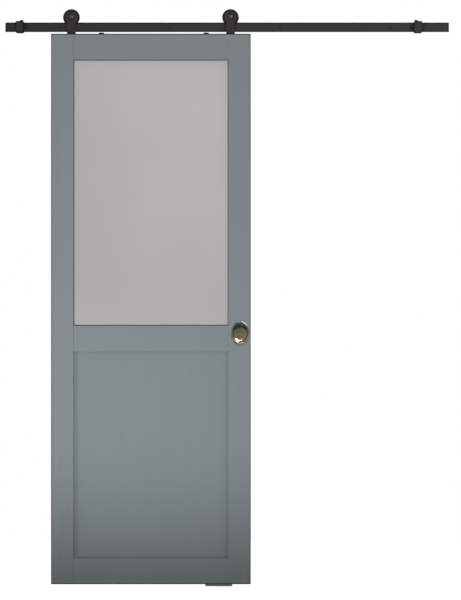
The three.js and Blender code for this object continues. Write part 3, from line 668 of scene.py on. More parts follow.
@dataclass(frozen=True)
class PlainFinish:
    """Metal or rubber that is stained in blots, with fine marks from its making."""

    name: str
    colour: Colour
    roughness: tuple[float, float]
    shader: tuple[str, float] = ("Metallic", 1.0)  # the shader's own setting
    stain: tuple[float, float] = (0.88, 1.06)  # the darkest and lightest blots' brightness
    blot: float = 7 * MM
    blot_detail: float = 2.0
    blot_ends: tuple[float, float] = (0.35, 0.65)
    mark: float = 0.8 * MM
    mark_detail: float = 3.0
    mark_depth: float = 0.02 * MM
    stretch: Colour = EVENLY  # how the marks are stretched on each axis

    def make(self) -> bpy.types.Material:
        """Makes the material."""
        recipe = Recipe(self.name, dict([self.shader]))
        marks = recipe.noise(recipe.place(self.stretch), self.mark, detail=self.mark_detail)
        blots = recipe.noise(recipe.place(), self.blot, detail=self.blot_detail)
        stops = {end: shade(self.colour, share) for end, share in zip(self.blot_ends, self.stain)}
        recipe.feed(
            Base_Color=recipe.ramp(blots, stops),
            Roughness=recipe.span(marks, *self.roughness),
            Normal=recipe.bump(marks, self.mark_depth),
        )
        return recipe.material


@dataclass(frozen=True)
class Rubber(PlainFinish):
    """Moulded rubber, matt and slightly chalky."""

    roughness: tuple[float, float] = (0.68, 0.85)
    shader: tuple[str, float] = ("Specular IOR Level", 0.3)
    stain: tuple[float, float] = (0.85, 1.3)
    blot: float = 6 * MM
    blot_ends: tuple[float, float] = (0.3, 0.7)
    mark: float = 0.5 * MM
    mark_detail: float = 4.0
    mark_depth: float = 0.04 * MM


FINISHES: dict[Slot, Finish] = {
    Slot.BRONZE: PowderCoat(),
    Slot.BUFFER: Rubber("black_rubber", (0.014, 0.014, 0.015)),
    Slot.GASKET: Rubber("grey_glazing_seal", (0.055, 0.057, 0.06)),
    Slot.ZINC: PlainFinish("zinc_plate", (0.62, 0.63, 0.64), (0.3, 0.42)),
    Slot.ALUMINIUM: PlainFinish(
        "mill_aluminium", (0.74, 0.745, 0.76), (0.32, 0.44), stretch=(0.02, 1.0, 1.0)),
    Slot.STEEL: PlainFinish("ground_steel", (0.6, 0.605, 0.61), (0.16, 0.28), mark=0.4 * MM),
}
OILED_STEEL = PlainFinish(
    "oiled_black_steel", (0.034, 0.03, 0.028), (0.24, 0.36), shader=("Specular IOR Level", 0.75),
    stain=(0.7, 1.3), blot=3 * MM, blot_detail=3.0, mark=0.4 * MM, mark_depth=0.012 * MM,
)


# ------------------------------------------------------------------------------------------------ the bench


class Bench:
    """Where pieces are dressed and tied to the frame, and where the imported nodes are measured."""

    def __init__(self, frame: Mapping[str, object]) -> None:
        """Takes the loaded frame and makes the finishes."""
        self.nodes: dict[str, bpy.types.Object] = frame["nodes"]
        self.materials = {slot: finish.make() for slot, finish in FINISHES.items()}
        leaf = Block.between(self.low("left_stile"), self.high("right_stile"))
        field = Block.between(
            np.array([self.high("left_stile")[0], 0, self.high("bottom_rail")[2]]),
            np.array([self.low("right_stile")[0], 0, self.low("mid_rail")[2]]))
        self.timber = {
            grain: PaintedTimber(f"leaf_paint_{grain.name.lower()}", grain, leaf).make() for grain in Grain}
        self.materials[Slot.GLASS] = EtchedGlass(self.block("glass_pane")).make()
        self.materials[Slot.BRASS] = AgedBrass(self.block("front_flush_pull")).make()
        self.special = {
            # the panel's paint has painted shade in the corners of its sunk field
            "lower_panel": PaintedTimber("leaf_paint_panel", Grain.UPRIGHT, leaf, hollow=field).make()}
        # painted shade along the edges of the rail and the stop bodies
        for node in ("rail", "left_stop_body", "right_stop_body"):
            self.special[node] = BarCoat(f"{node}_coat", bar=self.block(node)).make()
        screws = OILED_STEEL.make()
        for side in ("left", "right"):
            self.special[f"{side}_axle_screw"] = screws
            self.special[f"{side}_stop_clamp_screw"] = screws
            axle = self.block(f"{side}_wheel").middle
            # painted light and shade in rings round the axle, on the wheel and the strap
            for node, rings in ((f"{side}_wheel", Rings.WHEEL), (f"{side}_hanger_strap", Rings.STRAP)):
                self.special[node] = RingedCoat(f"{node}_coat", axle=axle, rings=rings).make()

    def block(self, node: str) -> Block:
        """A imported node's box."""
        return Block.between(self.low(node), self.high(node))

    def low(self, node: str) -> np.ndarray:
        """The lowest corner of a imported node's box."""
        return np.array(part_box(node)[0])

    def high(self, node: str) -> np.ndarray:
        """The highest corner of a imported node's box."""
        return np.array(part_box(node)[1])

    def middle(self, node: str) -> np.ndarray:
        """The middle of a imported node's box."""
        return (self.low(node) + self.high(node)) / 2

    def size(self, node: str) -> np.ndarray:
        """The width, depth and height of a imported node's box."""
        return self.high(node) - self.low(node)

    def hand_in(self, piece: bpy.types.Object, node: str, slot: Slot, grain: Grain | None = None) -> None:
        """Dresses a finished piece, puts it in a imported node's stead and lets it ride on that node's body.

        Args:
            piece: The finished piece.
            node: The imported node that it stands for.
            slot: The record's slot that it takes its finish from.
            grain: The timber's grain, for painted timber.
        """
        usual = self.timber[grain] if grain else self.materials[slot]
        piece.data.materials.append(self.special.get(node, usual))
        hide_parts(node)
        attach(piece, self.nodes[node]["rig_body"])
        LOG.info("%s: %d faces", piece.name, len(piece.data.polygons))

    def turn(self, node: str, slot: Slot, place: np.ndarray, facing: Facing, *grids: np.ndarray) -> None:
        """Hands in a piece made of grids about one axis.

        Args:
            node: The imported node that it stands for.
            slot: The record's slot that it takes its finish from.
            place: Where the grids' origin goes.
            facing: Which way their axis points.
            *grids: The grids, in the piece's own frame.
        """
        self.hand_in(skin(f"finished_{node}", *(stand(grid, place, facing) for grid in grids)), node, slot)

    def ease(self, node: str, slot: Slot, width: float, grain: Grain | None = None) -> None:
        """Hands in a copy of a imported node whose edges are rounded.

        Args:
            node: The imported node.
            slot: The record's slot that it takes its finish from.
            width: How far from each edge the rounding starts.
            grain: The timber's grain, for painted timber.
        """
        packed = self.nodes[node].data
        points = np.empty(len(packed.vertices) * 3, np.float32)
        packed.vertices.foreach_get("co", points)
        corners = np.empty(len(packed.loops), np.int32)
        packed.loops.foreach_get("vertex_index", corners)
        shape = merged(points.reshape(-1, 3), corners.reshape(-1, 3))
        bmesh.ops.dissolve_limit(shape, angle_limit=FLAT_ANGLE, verts=shape.verts, edges=shape.edges)
        piece = to_object(f"finished_{node}", shape)
        bevel = piece.modifiers.new("eased edges", "BEVEL")
        bevel.width = width
        bevel.segments = 3
        bevel.limit_method = "ANGLE"
        bevel.angle_limit = CREASE_ANGLE
        bevel.harden_normals = True
        self.hand_in(piece, node, slot, grain)


# ------------------------------------------------------------------------------------------------ screws


@dataclass(frozen=True)
class CountersunkScrew:
    """A countersunk screw with a hexagon socket. Its face is at height 0 and it points down."""

    shank: float
    head: float
    rim: float
    socket: float
    socket_depth: float
    pitch: float
    plain: float  # length below the head that has no thread
    ease: float = 0.25 * MM
    core: float = 0.78  # the thread's root, as a share of the shank
    tip: float = 0.3  # the point's end, as a share of the shank
    run_in: float = 0.5 * MM

    def grid(self, length: float) -> np.ndarray:
        """The screw's surface from the floor of its socket, over the head and down to its point.

        Args:
            length: From the head's face to the point.

        Returns:
            The grid of points.
        """
        neck = self.rim + self.head - self.shank
        point_length = 2 * self.shank
        head = soften(
            [
                (0, -self.socket_depth, 1),
                (self.socket, -self.socket_depth, 1),
                (self.socket, 0, 1),
                (self.head, 0, 0),
                (self.head, -self.rim, 0),
                (self.shank, -neck, 0),
                (self.shank, -neck - self.plain, 0),
            ],
            self.ease,
        )
        thread = Thread(core=self.core * self.shank, crest=self.shank, pitch=self.pitch)
        radii, heights = thread.rings(-neck - self.plain - self.run_in, point_length - length, COARSE)
        point = profile_rings(np.array([(self.tip * self.shank, -length), (0, -length)]), COARSE)
        rows = np.concatenate([profile_rings(head, COARSE), radii, point])
        return spun(rows, np.concatenate([head[:, 1], heights, [-length, -length]]))


# ------------------------------------------------------------------------------------------------ rail


@dataclass(frozen=True)
class RailSet:
    """The flat-bar rail, its wall spacers and the lag screws through them."""

    fixings: int = 4
    edge: float = 0.6 * MM
    spacer_bore: float = 4.3 * MM
    spacer_collar: float = 5 * MM
    spacer_waist: float = 0.6 * MM  # how much thinner the middle is
    spacer_edge: float = 0.5 * MM
    lag_screw: CountersunkScrew = CountersunkScrew(
        shank=4 * MM, head=8 * MM, rim=0.8 * MM, socket=3.4 * MM, socket_depth=2.6 * MM,
        pitch=3.4 * MM, plain=30 * MM,
    )

    def build(self, bench: Bench) -> None:
        """Builds the rail and everything that holds it."""
        bench.ease("rail", Slot.BRONZE, self.edge)
        for number in range(1, self.fixings + 1):
            self.spacer(bench, f"rail_spacer_{number}")
            screw = f"lag_screw_{number}"
            low, middle = bench.low(screw), bench.middle(screw)
            place = np.array([middle[0], low[1], middle[2]])
            bench.turn(screw, Slot.BRONZE, place, Facing.FRONT, self.lag_screw.grid(bench.size(screw)[1]))

    def spacer(self, bench: Bench, node: str) -> None:
        """Builds a tube with a shallow waist, from the wall to the back of the rail."""
        size, middle = bench.size(node), bench.middle(node)
        half, radius = size[1] / 2, size[0] / 2
        waist, shoulder = radius - self.spacer_waist, half - self.spacer_collar
        slope = shoulder - self.spacer_waist
        section = [
            (self.spacer_bore, -half), (radius, -half), (radius, -shoulder), (waist, -slope),
            (waist, slope), (radius, shoulder), (radius, half), (self.spacer_bore, half),
        ]
        bench.turn(node, Slot.BRONZE, middle, Facing.FRONT, ring(section, self.spacer_edge))


# ------------------------------------------------------------------------------------------------ end stops


@dataclass(frozen=True)
class EndStop:
    """A sleeve round the rail with a clamp screw on top and a rubber buffer on its inner face."""

    side: str
    inward: Facing
    edge: float = 0.9 * MM
    stem: float = 3 * MM
    buffer_length: float = 10 * MM
    buffer_ease: float = 1.2 * MM
    groove: float = 3.2 * MM  # from the buffer's base
    groove_half: float = 0.9 * MM
    groove_depth: float = 0.8 * MM
    nose: tuple[float, float] = (2.2 * MM, 2.4 * MM)  # how far the buffer's nose is cut in and back
    screw_ease: float = 0.6 * MM
    head_height: float = 4.6 * MM
    shank: float = 4 * MM
    socket: float = 3 * MM
    socket_depth: float = 2.6 * MM
    knurls: int = 24
    knurl_depth: float = 0.12 * MM

    def build(self, bench: Bench) -> None:
        """Builds the sleeve, its screw and its buffer."""
        bench.ease(f"{self.side}_stop_body", Slot.BRONZE, self.edge)
        self.clamp_screw(bench, f"{self.side}_stop_clamp_screw")
        self.buffer(bench, f"{self.side}_stop_buffer")

    def clamp_screw(self, bench: Bench, node: str) -> None:
        """Builds a cap screw whose head's side has a cosine ripple of knurls."""
        low, high, middle = bench.low(node), bench.high(node), bench.middle(node)
        top, head = high[2] - low[2], bench.size(node)[0] / 2
        seat = top - self.head_height
        profile = soften(
            [
                (0, top - self.socket_depth, 1), (self.socket, top - self.socket_depth, 1),
                (self.socket, top, 1), (head, top, 0), (head, seat, 0), (self.shank, seat, 0),
                (self.shank, 0, 0), (0, 0, 0),
            ],
            self.screw_ease,
        )
        radii = profile_rings(profile, 2 * FINE)
        on_side = (profile[:, 0] > head - MERGE_DISTANCE)[:, None]
        ripple = self.knurl_depth * (np.cos(self.knurls * angles(2 * FINE)) - 1) / 2
        grid = spun(radii + on_side * ripple, profile[:, 1])
        bench.turn(node, Slot.BRONZE, np.array([middle[0], middle[1], low[2]]), Facing.UP, grid)

    def buffer(self, bench: Bench, node: str) -> None:
        """Builds a domed rubber plug with a groove round it and a stem in the sleeve."""
        size, middle = bench.size(node), bench.middle(node)
        radius, half = size[2] / 2, size[0] / 2
        base, tip = half - self.buffer_length, half
        groove = base + self.groove
        profile = soften(
            [
                (0, -half), (self.stem, -half), (self.stem, base), (radius, base),
                (radius, groove - self.groove_half), (radius - self.groove_depth, groove),
                (radius, groove + self.groove_half), (radius, tip - self.nose[1]),
                (radius - self.nose[0], tip), (0, tip),
            ],
            self.buffer_ease,
        )
        bench.turn(node, Slot.BUFFER, middle, self.inward, turned(profile))


# ------------------------------------------------------------------------------------------------ floor guide


@dataclass(frozen=True)
class FloorGuide:
    """The extruded guide under the leaf and its two screws."""

    edge: float = 0.4 * MM
    screw: CountersunkScrew = CountersunkScrew(
        shank=2 * MM, head=3.8 * MM, rim=0.3 * MM, socket=1.4 * MM, socket_depth=1 * MM,
        pitch=1.6 * MM, plain=1 * MM,
    )

    def build(self, bench: Bench) -> None:
        """Builds the guide and its screws."""
        bench.ease("floor_guide", Slot.ALUMINIUM, self.edge)
        for number in (1, 2):
            node = f"floor_guide_screw_{number}"
            set_upright_screw(bench, node, Slot.ZINC, self.screw)


def set_upright_screw(bench: Bench, node: str, slot: Slot, screw: CountersunkScrew) -> None:
    """Hands in a countersunk screw that points down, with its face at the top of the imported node's box."""
    middle, high = bench.middle(node), bench.high(node)
    place = np.array([middle[0], middle[1], high[2]])
    bench.turn(node, slot, place, Facing.UP, screw.grid(bench.size(node)[2]))


# ------------------------------------------------------------------------------------------------ hangers


@dataclass(frozen=True)
class Hanger:
    """A strap on the leaf's top edge and the grooved wheel that it hangs from, on a ball bearing.

    Heights along the axle are measured forwards from the rail's middle.
    """

    side: str
    edge: float = 0.8 * MM
    # wheel
    front: float = 11 * MM
    back: float = -10 * MM
    front_flange: float = 31 * MM
    rear_flange: float = 24 * MM
    tread: float = 18 * MM
    groove: float = 3.6 * MM
    flare: float = 2 * MM
    recess_inner: float = 15.5 * MM
    recess_outer: float = 22 * MM
    recess_depth: float = 2 * MM
    recess_slope: float = 1 * MM
    front_chamfer: float = 2.5 * MM
    rear_chamfer: float = 2 * MM
    wheel_ease: float = 0.9 * MM
    seat: float = 13.3 * MM
    shoulder: float = 11.3 * MM
    shoulder_front: float = -4.3 * MM
    # bearing
    bore: float = 5.3 * MM
    inner_race: float = 7.6 * MM
    outer_race: float = 11.2 * MM
    bearing: float = 13 * MM
    bearing_half: float = 4 * MM
    ball: float = 2.2 * MM
    balls: int = 7
    ball_grid: tuple[int, int] = (13, 20)  # rows and columns of points
    track: float = 2.5 * MM
    track_rows: int = 9
    cage_low: float = 1.5 * MM
    cage_rise: float = 1.1 * MM
    cage_half: float = 0.6 * MM
    # axle
    axle: float = 5 * MM
    head: float = 9.2 * MM
    head_seat: float = 17.3 * MM
    head_face: float = 22.7 * MM
    head_rim: float = 1 * MM
    dome_rows: int = 14
    socket_rim: float = 3.4 * MM
    socket: float = 3 * MM
    socket_depth: float = 2.8 * MM
    axle_pitch: float = 1.5 * MM
    axle_core: float = 4.3 * MM
    axle_tip: float = 3.8 * MM
    axle_end: float = 1.5 * MM  # beyond the nut's collar
    nut: float = 9.8 * MM
    nut_thickness: float = 6.5 * MM
    nut_chamfer: float = 1.4 * MM
    nut_slope: float = math.radians(30)  # of the cones that cut the nut's corners off
    collar_ease: float = 0.7 * MM
    chamfer_rows: int = 6
    nut_flat: float = 0.93  # the round of its faces, as a share of its width across flats
    collar: float = 7.4 * MM
    collar_length: float = 2.2 * MM
    race_ease: float = 0.4 * MM
    foot_screw: CountersunkScrew = CountersunkScrew(
        shank=2.7 * MM, head=4.8 * MM, rim=0.4 * MM, socket=1.8 * MM, socket_depth=1.6 * MM,
        pitch=2.2 * MM, plain=8 * MM,
    )

    def build(self, bench: Bench) -> None:
        """Builds the strap, the wheel and everything on the axle."""
        axle = bench.middle(f"{self.side}_wheel")
        axle[1] = bench.middle("rail")[1]
        bench.ease(f"{self.side}_hanger_strap", Slot.BRONZE, self.edge)
        for number in (1, 2):
            set_upright_screw(bench, f"{self.side}_foot_screw_{number}", Slot.BRONZE, self.foot_screw)
        parts = {
            "wheel": (Slot.BRONZE, [self.wheel()]),
            "axle_screw": (Slot.BRONZE, [self.axle_screw()]),
            "axle_spacer": (Slot.ZINC, [self.axle_spacer(bench, axle)]),
            "lock_nut": (Slot.ZINC, [self.lock_nut()]),
            "bearing_inner_race": (Slot.STEEL, [self.race(self.bore, self.inner_race, -1)]),
            "bearing_outer_race": (Slot.STEEL, [self.race(self.bearing, self.outer_race, 1)]),
            "ball_cage": (Slot.STEEL, self.ball_cage()),
        }
        for name, (slot, grids) in parts.items():
            bench.turn(f"{self.side}_{name}", slot, axle, Facing.FRONT, *grids)

    def wheel(self) -> np.ndarray:
        """A grooved wheel with a dished ring in its face, bored for the bearing from the front."""
        section = [
            (self.seat, self.front),
            (self.recess_inner, self.front),
            (self.recess_inner + self.recess_slope, self.front - self.recess_depth),
            (self.recess_outer - self.recess_slope, self.front - self.recess_depth),
            (self.recess_outer, self.front),
            (self.front_flange - self.front_chamfer, self.front),
            (self.front_flange, self.front - self.front_chamfer),
            (self.front_flange, self.groove + self.flare),
            (self.tread, self.groove),
            (self.tread, -self.groove),
            (self.rear_flange, -self.groove - self.flare),
            (self.rear_flange, self.back + self.rear_chamfer),
            (self.rear_flange - self.rear_chamfer, self.back),
            (self.shoulder, self.back),
            (self.shoulder, self.shoulder_front),
            (self.seat, self.shoulder_front),
        ]
        return ring(section, self.wheel_ease)

    def axle_screw(self) -> np.ndarray:
        """A domed screw with a hexagon socket, threaded where the nut goes on.

        The dome's radius goes as sin t and its height as cos t, from the socket's rim to the head's edge.
        """
        t = np.linspace(0, math.pi / 2, self.dome_rows)
        dome_base = self.head_seat + self.head_rim
        dome = np.stack([
            self.socket_rim + (self.head - self.socket_rim) * np.sin(t),
            dome_base + (self.head_face - dome_base) * np.cos(t),
            0 * t,
        ], axis=1)
        floor = self.head_face - self.socket_depth
        mouth = [(0, floor, 1), (self.socket, floor, 1), (self.socket, self.head_face, 1), tuple(dome[0])]
        nut_back = self.shoulder_front - self.nut_thickness - self.collar_length
        end = nut_back - self.axle_end
        shaft = [tuple(dome[-1]), (self.head, self.head_seat, 0), (self.axle, self.head_seat, 0),
                 (self.axle, self.shoulder_front, 0)]
        top = np.vstack([soften(mouth, self.foot_screw.ease), dome, soften(shaft, self.race_ease)])
        thread = Thread(core=self.axle_core, crest=self.axle, pitch=self.axle_pitch)
        thread_top = self.shoulder_front - self.foot_screw.run_in
        radii, heights = thread.rings(thread_top, end + self.race_ease, COARSE)
        tip = profile_rings(np.array([(self.axle_tip, end), (0, end)]), COARSE)
        return spun(
            np.concatenate([profile_rings(top, COARSE), radii, tip]),
            np.concatenate([top[:, 1], heights, [end, end]]))

    def axle_spacer(self, bench: Bench, axle: np.ndarray) -> np.ndarray:
        """The sleeve between the strap and the bearing's inner ring."""
        node = f"{self.side}_axle_spacer"
        front, back = axle[1] - bench.low(node)[1], axle[1] - bench.high(node)[1]
        radius = bench.size(node)[0] / 2
        section = [(self.bore, front), (radius, front), (radius, back), (self.bore, back)]
        return ring(section, self.race_ease, COARSE)

    def lock_nut(self) -> np.ndarray:
        """A hexagon lock nut with a round collar behind it.

        At each height the radius is the smaller of the hexagon's and of two cones that cut its corners off.
        """
        seat, back = self.shoulder_front, self.shoulder_front - self.nut_thickness
        levels = np.concatenate([
            np.linspace(seat, seat - self.nut_chamfer, self.chamfer_rows),
            np.linspace(back + self.nut_chamfer, back, self.chamfer_rows)])
        flat = self.nut_flat * self.nut * math.cos(HEXAGON / 2)
        cone = flat + np.minimum(seat - levels, levels - back) / math.tan(self.nut_slope)
        sides = np.minimum(self.nut * hexagon(COARSE), cone[:, None])
        end = back - self.collar_length
        collar = soften(
            [(self.collar, back), (self.collar, end), (self.bore, end), (self.bore, seat), (flat, seat)],
            self.collar_ease)
        return spun(
            np.concatenate([sides, profile_rings(collar, COARSE)]), np.concatenate([levels, collar[:, 1]]))

    def race_track(self, side: int) -> list[tuple[float, float]]:
        """Points across a ball track, from front to back: a circle's arc round the ball's middle.

        Args:
            side: -1 on the inner ring, +1 on the outer.

        Returns:
            (radius, height) pairs.
        """
        circle = (self.inner_race + self.outer_race) / 2
        reach = math.acos((self.outer_race - self.inner_race) / 2 / self.track)
        turn = np.linspace(reach, -reach, self.track_rows)
        return list(zip(circle + side * self.track * np.cos(turn), self.track * np.sin(turn)))

    def race(self, bore: float, face: float, side: int) -> np.ndarray:
        """One of the bearing's two rings, from its plain side to the one that its track is cut in."""
        half = self.bearing_half
        section = [(bore, half), (face, half), *self.race_track(side), (face, -half), (bore, -half)]
        return ring(section, self.race_ease)

    def ball_cage(self) -> list[np.ndarray]:
        """A scalloped ribbon round the balls, and the balls.

        The ribbon's half height is low + rise * (1 + cos(balls * angle)) / 2, so it is highest at each ball.
        A ball's points are (r sin t cos a, r sin t sin a, r cos t).
        """
        circle = (self.inner_race + self.outer_race) / 2
        turn = angles(FINE + self.balls * 4)
        half = self.cage_low + self.cage_rise * (1 + np.cos(self.balls * turn)) / 2
        edge = np.array([(-1, -1), (1, -1), (1, 1), (-1, 1), (-1, -1)])
        radii = circle + edge[:, :1] * self.cage_half
        rise = edge[:, 1:] * half * np.ones_like(radii * turn)
        ribbon = np.stack([radii * np.cos(turn), radii * np.sin(turn), rise], axis=-1)
        t, a = np.linspace(0, math.pi, self.ball_grid[0])[:, None], angles(self.ball_grid[1])
        across = [np.sin(t) * np.cos(a), np.sin(t) * np.sin(a)]
        ball = self.ball * np.stack([*across, np.cos(t) + 0 * a], axis=-1)
        centres = angles(self.balls)
        return [ribbon] + [ball + circle * np.array([np.cos(c), np.sin(c), 0]) for c in centres]


# ------------------------------------------------------------------------------------------------ leaf


@dataclass(frozen=True)
class FlushPull:
    """An oval pull let into the leaf: a flat rim round a smooth dish. Heights are outwards from the leaf."""

    node: str
    facing: Facing
    rim: tuple[float, float] = (34 * MM, 45 * MM)
    dish: tuple[float, float] = (28.5 * MM, 33.5 * MM)
    lift: float = 0.3 * MM
    face: float = 2.5 * MM
    floor: float = -10.2 * MM
    wall: float = 1.6 * MM
    lip: float = 0.6 * MM  # how far below the rim's face the dish starts
    edge: float = 1 * MM
    outer_slope: float = 1.6 * MM
    inner_slope: float = 1.4 * MM
    ease: float = 0.9 * MM
    full: tuple[float, float] = (0.6, 0.9)  # the powers that shape the dish
    rows: int = 26
    points: int = 120

    def build(self, bench: Bench) -> None:
        """Builds the pull as ovals, from the back of its cup over the rim and down to the dish's middle."""
        place = bench.middle(self.node)
        outer = bench.low(self.node) if self.facing is Facing.FRONT else bench.high(self.node)
        outward = -1 if self.facing is Facing.FRONT else 1
        place[1] = outer[1] - outward * self.face
        t = np.linspace(0, math.pi / 2, self.rows)
        cup = self.bowl(self.wall, self.lift, self.floor - self.wall, t[::-1])
        inside = self.bowl(0.0, self.face - self.lip, self.floor, t)
        outer_face = (half - self.outer_slope for half in self.rim)
        inner_face = (half + self.inner_slope for half in self.dish)
        rim = soften(
            [
                tuple(cup[-1]), (*self.rim, self.lift), (*self.rim, self.face - self.edge),
                (*outer_face, self.face), (*inner_face, self.face), tuple(inside[0]),
            ],
            self.ease,
        )
        rows = np.vstack([cup, rim, inside])
        a = angles(self.points)
        level = np.broadcast_to(rows[:, 2:], (len(rows), len(a)))
        grid = np.stack([rows[:, :1] * np.cos(a), rows[:, 1:2] * np.sin(a), level], axis=-1)
        bench.turn(self.node, Slot.BRASS, place, self.facing, grid)

    def bowl(self, grow: float, top: float, bottom: float, t: np.ndarray) -> np.ndarray:
        """Ovals down a bowl: half sizes shrink as a power of cos(t) while the height falls as one of sin(t).

        Args:
            grow: Added to the dish's half sizes.
            top: Height of the widest oval.
            bottom: Height of the middle.
            t: From 0 at the widest oval to a quarter turn at the middle.

        Returns:
            Rows of half width, half height and height.
        """
        share = np.maximum(np.cos(t), 0)[:, None] ** self.full[0]
        half_sizes = share * (np.array(self.dish) + grow)
        fall = np.sin(t)[:, None] ** self.full[1]
        return np.hstack([half_sizes, top + (bottom - top) * fall])


@dataclass(frozen=True)
class Leaf:
    """The framed and glazed leaf with its pulls and its anti-jump discs."""

    edge: float = 0.4 * MM
    bead_edge: float = 0.8 * MM
    gasket_edge: float = 0.5 * MM
    glass_edge: float = 0.6 * MM
    disc_height: float = 5 * MM
    disc_ease: float = 0.7 * MM
    disc_room: float = 0.3 * MM  # round its screw
    disc_screw: CountersunkScrew = CountersunkScrew(
        shank=2.3 * MM, head=4.4 * MM, rim=0.4 * MM, socket=1.6 * MM, socket_depth=1.4 * MM,
        pitch=2 * MM, plain=5 * MM,
    )

    def build(self, bench: Bench) -> None:
        """Builds the timber, the glazing, the pulls and the discs."""
        timber = {
            Grain.UPRIGHT: (
                "left_stile", "right_stile", "lower_panel", "glazing_bead_left", "glazing_bead_right"),
            Grain.LEVEL: ("top_rail", "mid_rail", "bottom_rail", "glazing_bead_top", "glazing_bead_bottom"),
        }
        for grain, nodes in timber.items():
            for node in nodes:
                edge = self.bead_edge if "bead" in node else self.edge
                bench.ease(node, Slot.PAINT, edge, grain)
        bench.ease("glazing_gasket", Slot.GASKET, self.gasket_edge)
        bench.ease("glass_pane", Slot.GLASS, self.glass_edge)
        FlushPull("front_flush_pull", Facing.FRONT).build(bench)
        FlushPull("rear_flush_pull", Facing.BACK).build(bench)
        for side in ("left", "right"):
            self.disc(bench, f"{side}_anti_jump_disc")
            set_upright_screw(bench, f"{side}_anti_jump_screw", Slot.BRONZE, self.disc_screw)

    def disc(self, bench: Bench, node: str) -> None:
        """Builds a disc that is dished for its screw's head."""
        low, middle = bench.low(node), bench.middle(node)
        radius = bench.size(node)[0] / 2
        hole, mouth = self.disc_screw.shank + self.disc_room, self.disc_screw.head + self.disc_room
        sunk = self.disc_height - self.disc_screw.rim - self.disc_room
        section = [
            (hole, 0), (radius, 0), (radius, self.disc_height), (mouth, self.disc_height), (mouth, sunk),
            (hole, sunk - mouth + hole),
        ]
        place = np.array([middle[0], middle[1], low[2]])
        bench.turn(node, Slot.BRONZE, place, Facing.UP, ring(section, self.disc_ease))


# ------------------------------------------------------------------------------------------------ studio


@dataclass(frozen=True)
class Softbox:
    """A square lit panel. Unless it fills, it only shows in what is glossy."""

    name: str
    place: Colour
    target: Colour
    size: float
    watts: float
    fills: bool = False


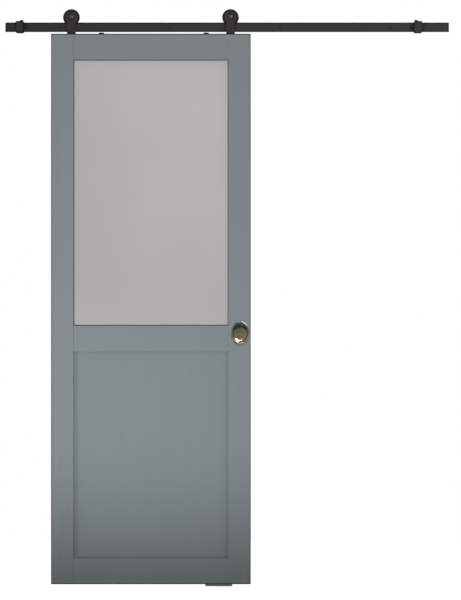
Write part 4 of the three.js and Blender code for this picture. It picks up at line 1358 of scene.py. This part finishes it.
@dataclass(frozen=True)
class Studio:
    """A pale floor, soft light and the camera, which stands far away with a long lens."""

    eye: Colour = (0.0125, -12.052, -1.0123)
    lens: float = 194.3  # millimetres, on a 36 mm frame
    floor_reach: tuple[float, float] = (2.6, 2.2)
    floor_glow: float = 0.93
    floor_base: Colour = (0.2, 0.2, 0.2)
    key_place: Colour = (-0.66, -2.6, -1.62)
    key_target: Colour = (-0.33, -0.05, 0.05)
    key_watts: float = 216.0
    key_cone: float = math.radians(88.5)
    key_blend: float = 0.33
    key_radius: float = 0.35
    window: Softbox = Softbox("window", (1.6, -1.9, 1.4), (0.05, -0.05, -1.14), 2.2, 105.0)
    spark: Softbox = Softbox("spark", (-0.3, -3.0, 1.2), (-0.28, -0.05, 0.03), 0.5, 15.0)
    fill: Softbox = Softbox("fill", (1.5, 3.4, 0.3), (-0.2, 0.0, -1.0), 1.6, 60.0, fills=True)
    surround: float = 0.34  # how bright the studio's walls are

    def build(self) -> None:
        """Builds the camera, the floor, the lights and the surroundings."""
        scene = bpy.context.scene
        scene.view_settings.view_transform = "Standard"
        camera = bpy.data.cameras.new("camera")
        camera.lens = self.lens
        holder = bpy.data.objects.new("camera", camera)
        holder.location = self.eye
        holder.rotation_euler = (math.pi / 2, 0, 0)
        scene.collection.objects.link(holder)
        scene.camera = holder
        self.floor()
        self.key()
        for box in (self.window, self.spark, self.fill):
            self.softbox(box)
        self.surroundings()

    def floor(self) -> None:
        """Lays a pale floor under the guide."""
        low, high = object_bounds()
        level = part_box("floor_guide")[0][2]
        middle = (low + high) / 2
        across, deep = self.floor_reach
        signs = ((-1, -1), (1, -1), (1, 1), (-1, 1))
        corners = [(middle[0] + x * across, middle[1] + y * deep, level) for x, y in signs]
        mesh = bpy.data.meshes.new("floor")
        mesh.from_pydata(corners, [], [(0, 1, 2, 3)])
        floor = bpy.data.objects.new("floor", mesh)
        bpy.context.scene.collection.objects.link(floor)
        recipe = Recipe("pale_floor", {"Base Color": (*self.floor_base, 1), "Roughness": 0.9})
        glow = recipe.add("Emission", {"Color": WHITE, "Strength": self.floor_glow})
        seen = recipe.add("AddShader", {0: recipe.shader.outputs[0], 1: glow.outputs[0]})
        path = recipe.add("LightPath", {}).outputs["Is Camera Ray"]
        mix = recipe.add("MixShader", {0: path, 1: recipe.shader.outputs[0], 2: seen.outputs[0]})
        output = recipe.material.node_tree.nodes["Material Output"]
        recipe.material.node_tree.links.new(mix.outputs[0], output.inputs["Surface"])
        mesh.materials.append(recipe.material)
        floor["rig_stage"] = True

    def aim(self, light: bpy.types.Light, place: Colour, target: Colour) -> bpy.types.Object:
        """Links a light at a place, pointing at a target."""
        holder = bpy.data.objects.new(light.name, light)
        holder.location = place
        holder.rotation_euler = (Vector(target) - Vector(place)).to_track_quat("-Z", "Y").to_euler()
        bpy.context.scene.collection.objects.link(holder)
        return holder

    def key(self) -> None:
        """Hangs the main light, which isn't mirrored and whose soft lower edge falls on the leaf's foot."""
        light = bpy.data.lights.new("key", "SPOT")
        light.energy = self.key_watts
        light.spot_size = self.key_cone
        light.spot_blend = self.key_blend
        light.shadow_soft_size = self.key_radius
        self.aim(light, self.key_place, self.key_target).visible_glossy = False

    def softbox(self, box: Softbox) -> None:
        """Hangs a lit panel."""
        light = bpy.data.lights.new(box.name, "AREA")
        light.size = box.size
        light.energy = box.watts
        self.aim(light, box.place, box.target).visible_diffuse = box.fills

    def surroundings(self) -> None:
        """Makes the surroundings white to the camera and dimmer as light."""
        world = bpy.data.worlds.new("studio")
        bpy.context.scene.world = world
        world.use_nodes = True
        nodes, links = world.node_tree.nodes, world.node_tree.links
        walls = nodes["Background"]
        walls.inputs["Strength"].default_value = self.surround
        white = nodes.new("ShaderNodeBackground")
        for node in (walls, white):
            node.inputs["Color"].default_value = WHITE
        path, mix = nodes.new("ShaderNodeLightPath"), nodes.new("ShaderNodeMixShader")
        links.new(path.outputs["Is Camera Ray"], mix.inputs[0])
        links.new(walls.outputs[0], mix.inputs[1])
        links.new(white.outputs[0], mix.inputs[2])
        links.new(mix.outputs[0], nodes["World Output"].inputs["Surface"])


def main() -> None:
    """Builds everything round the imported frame."""
    logging.basicConfig(level=logging.INFO, format="%(name)s: %(message)s")
    bench = Bench(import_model())
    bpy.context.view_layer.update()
    RailSet().build(bench)
    EndStop("left", Facing.RIGHT).build(bench)
    EndStop("right", Facing.LEFT).build(bench)
    FloorGuide().build(bench)
    Hanger("left").build(bench)
    Hanger("right").build(bench)
    Leaf().build(bench)
    Studio().build()


if __name__ == "__main__":
    main()
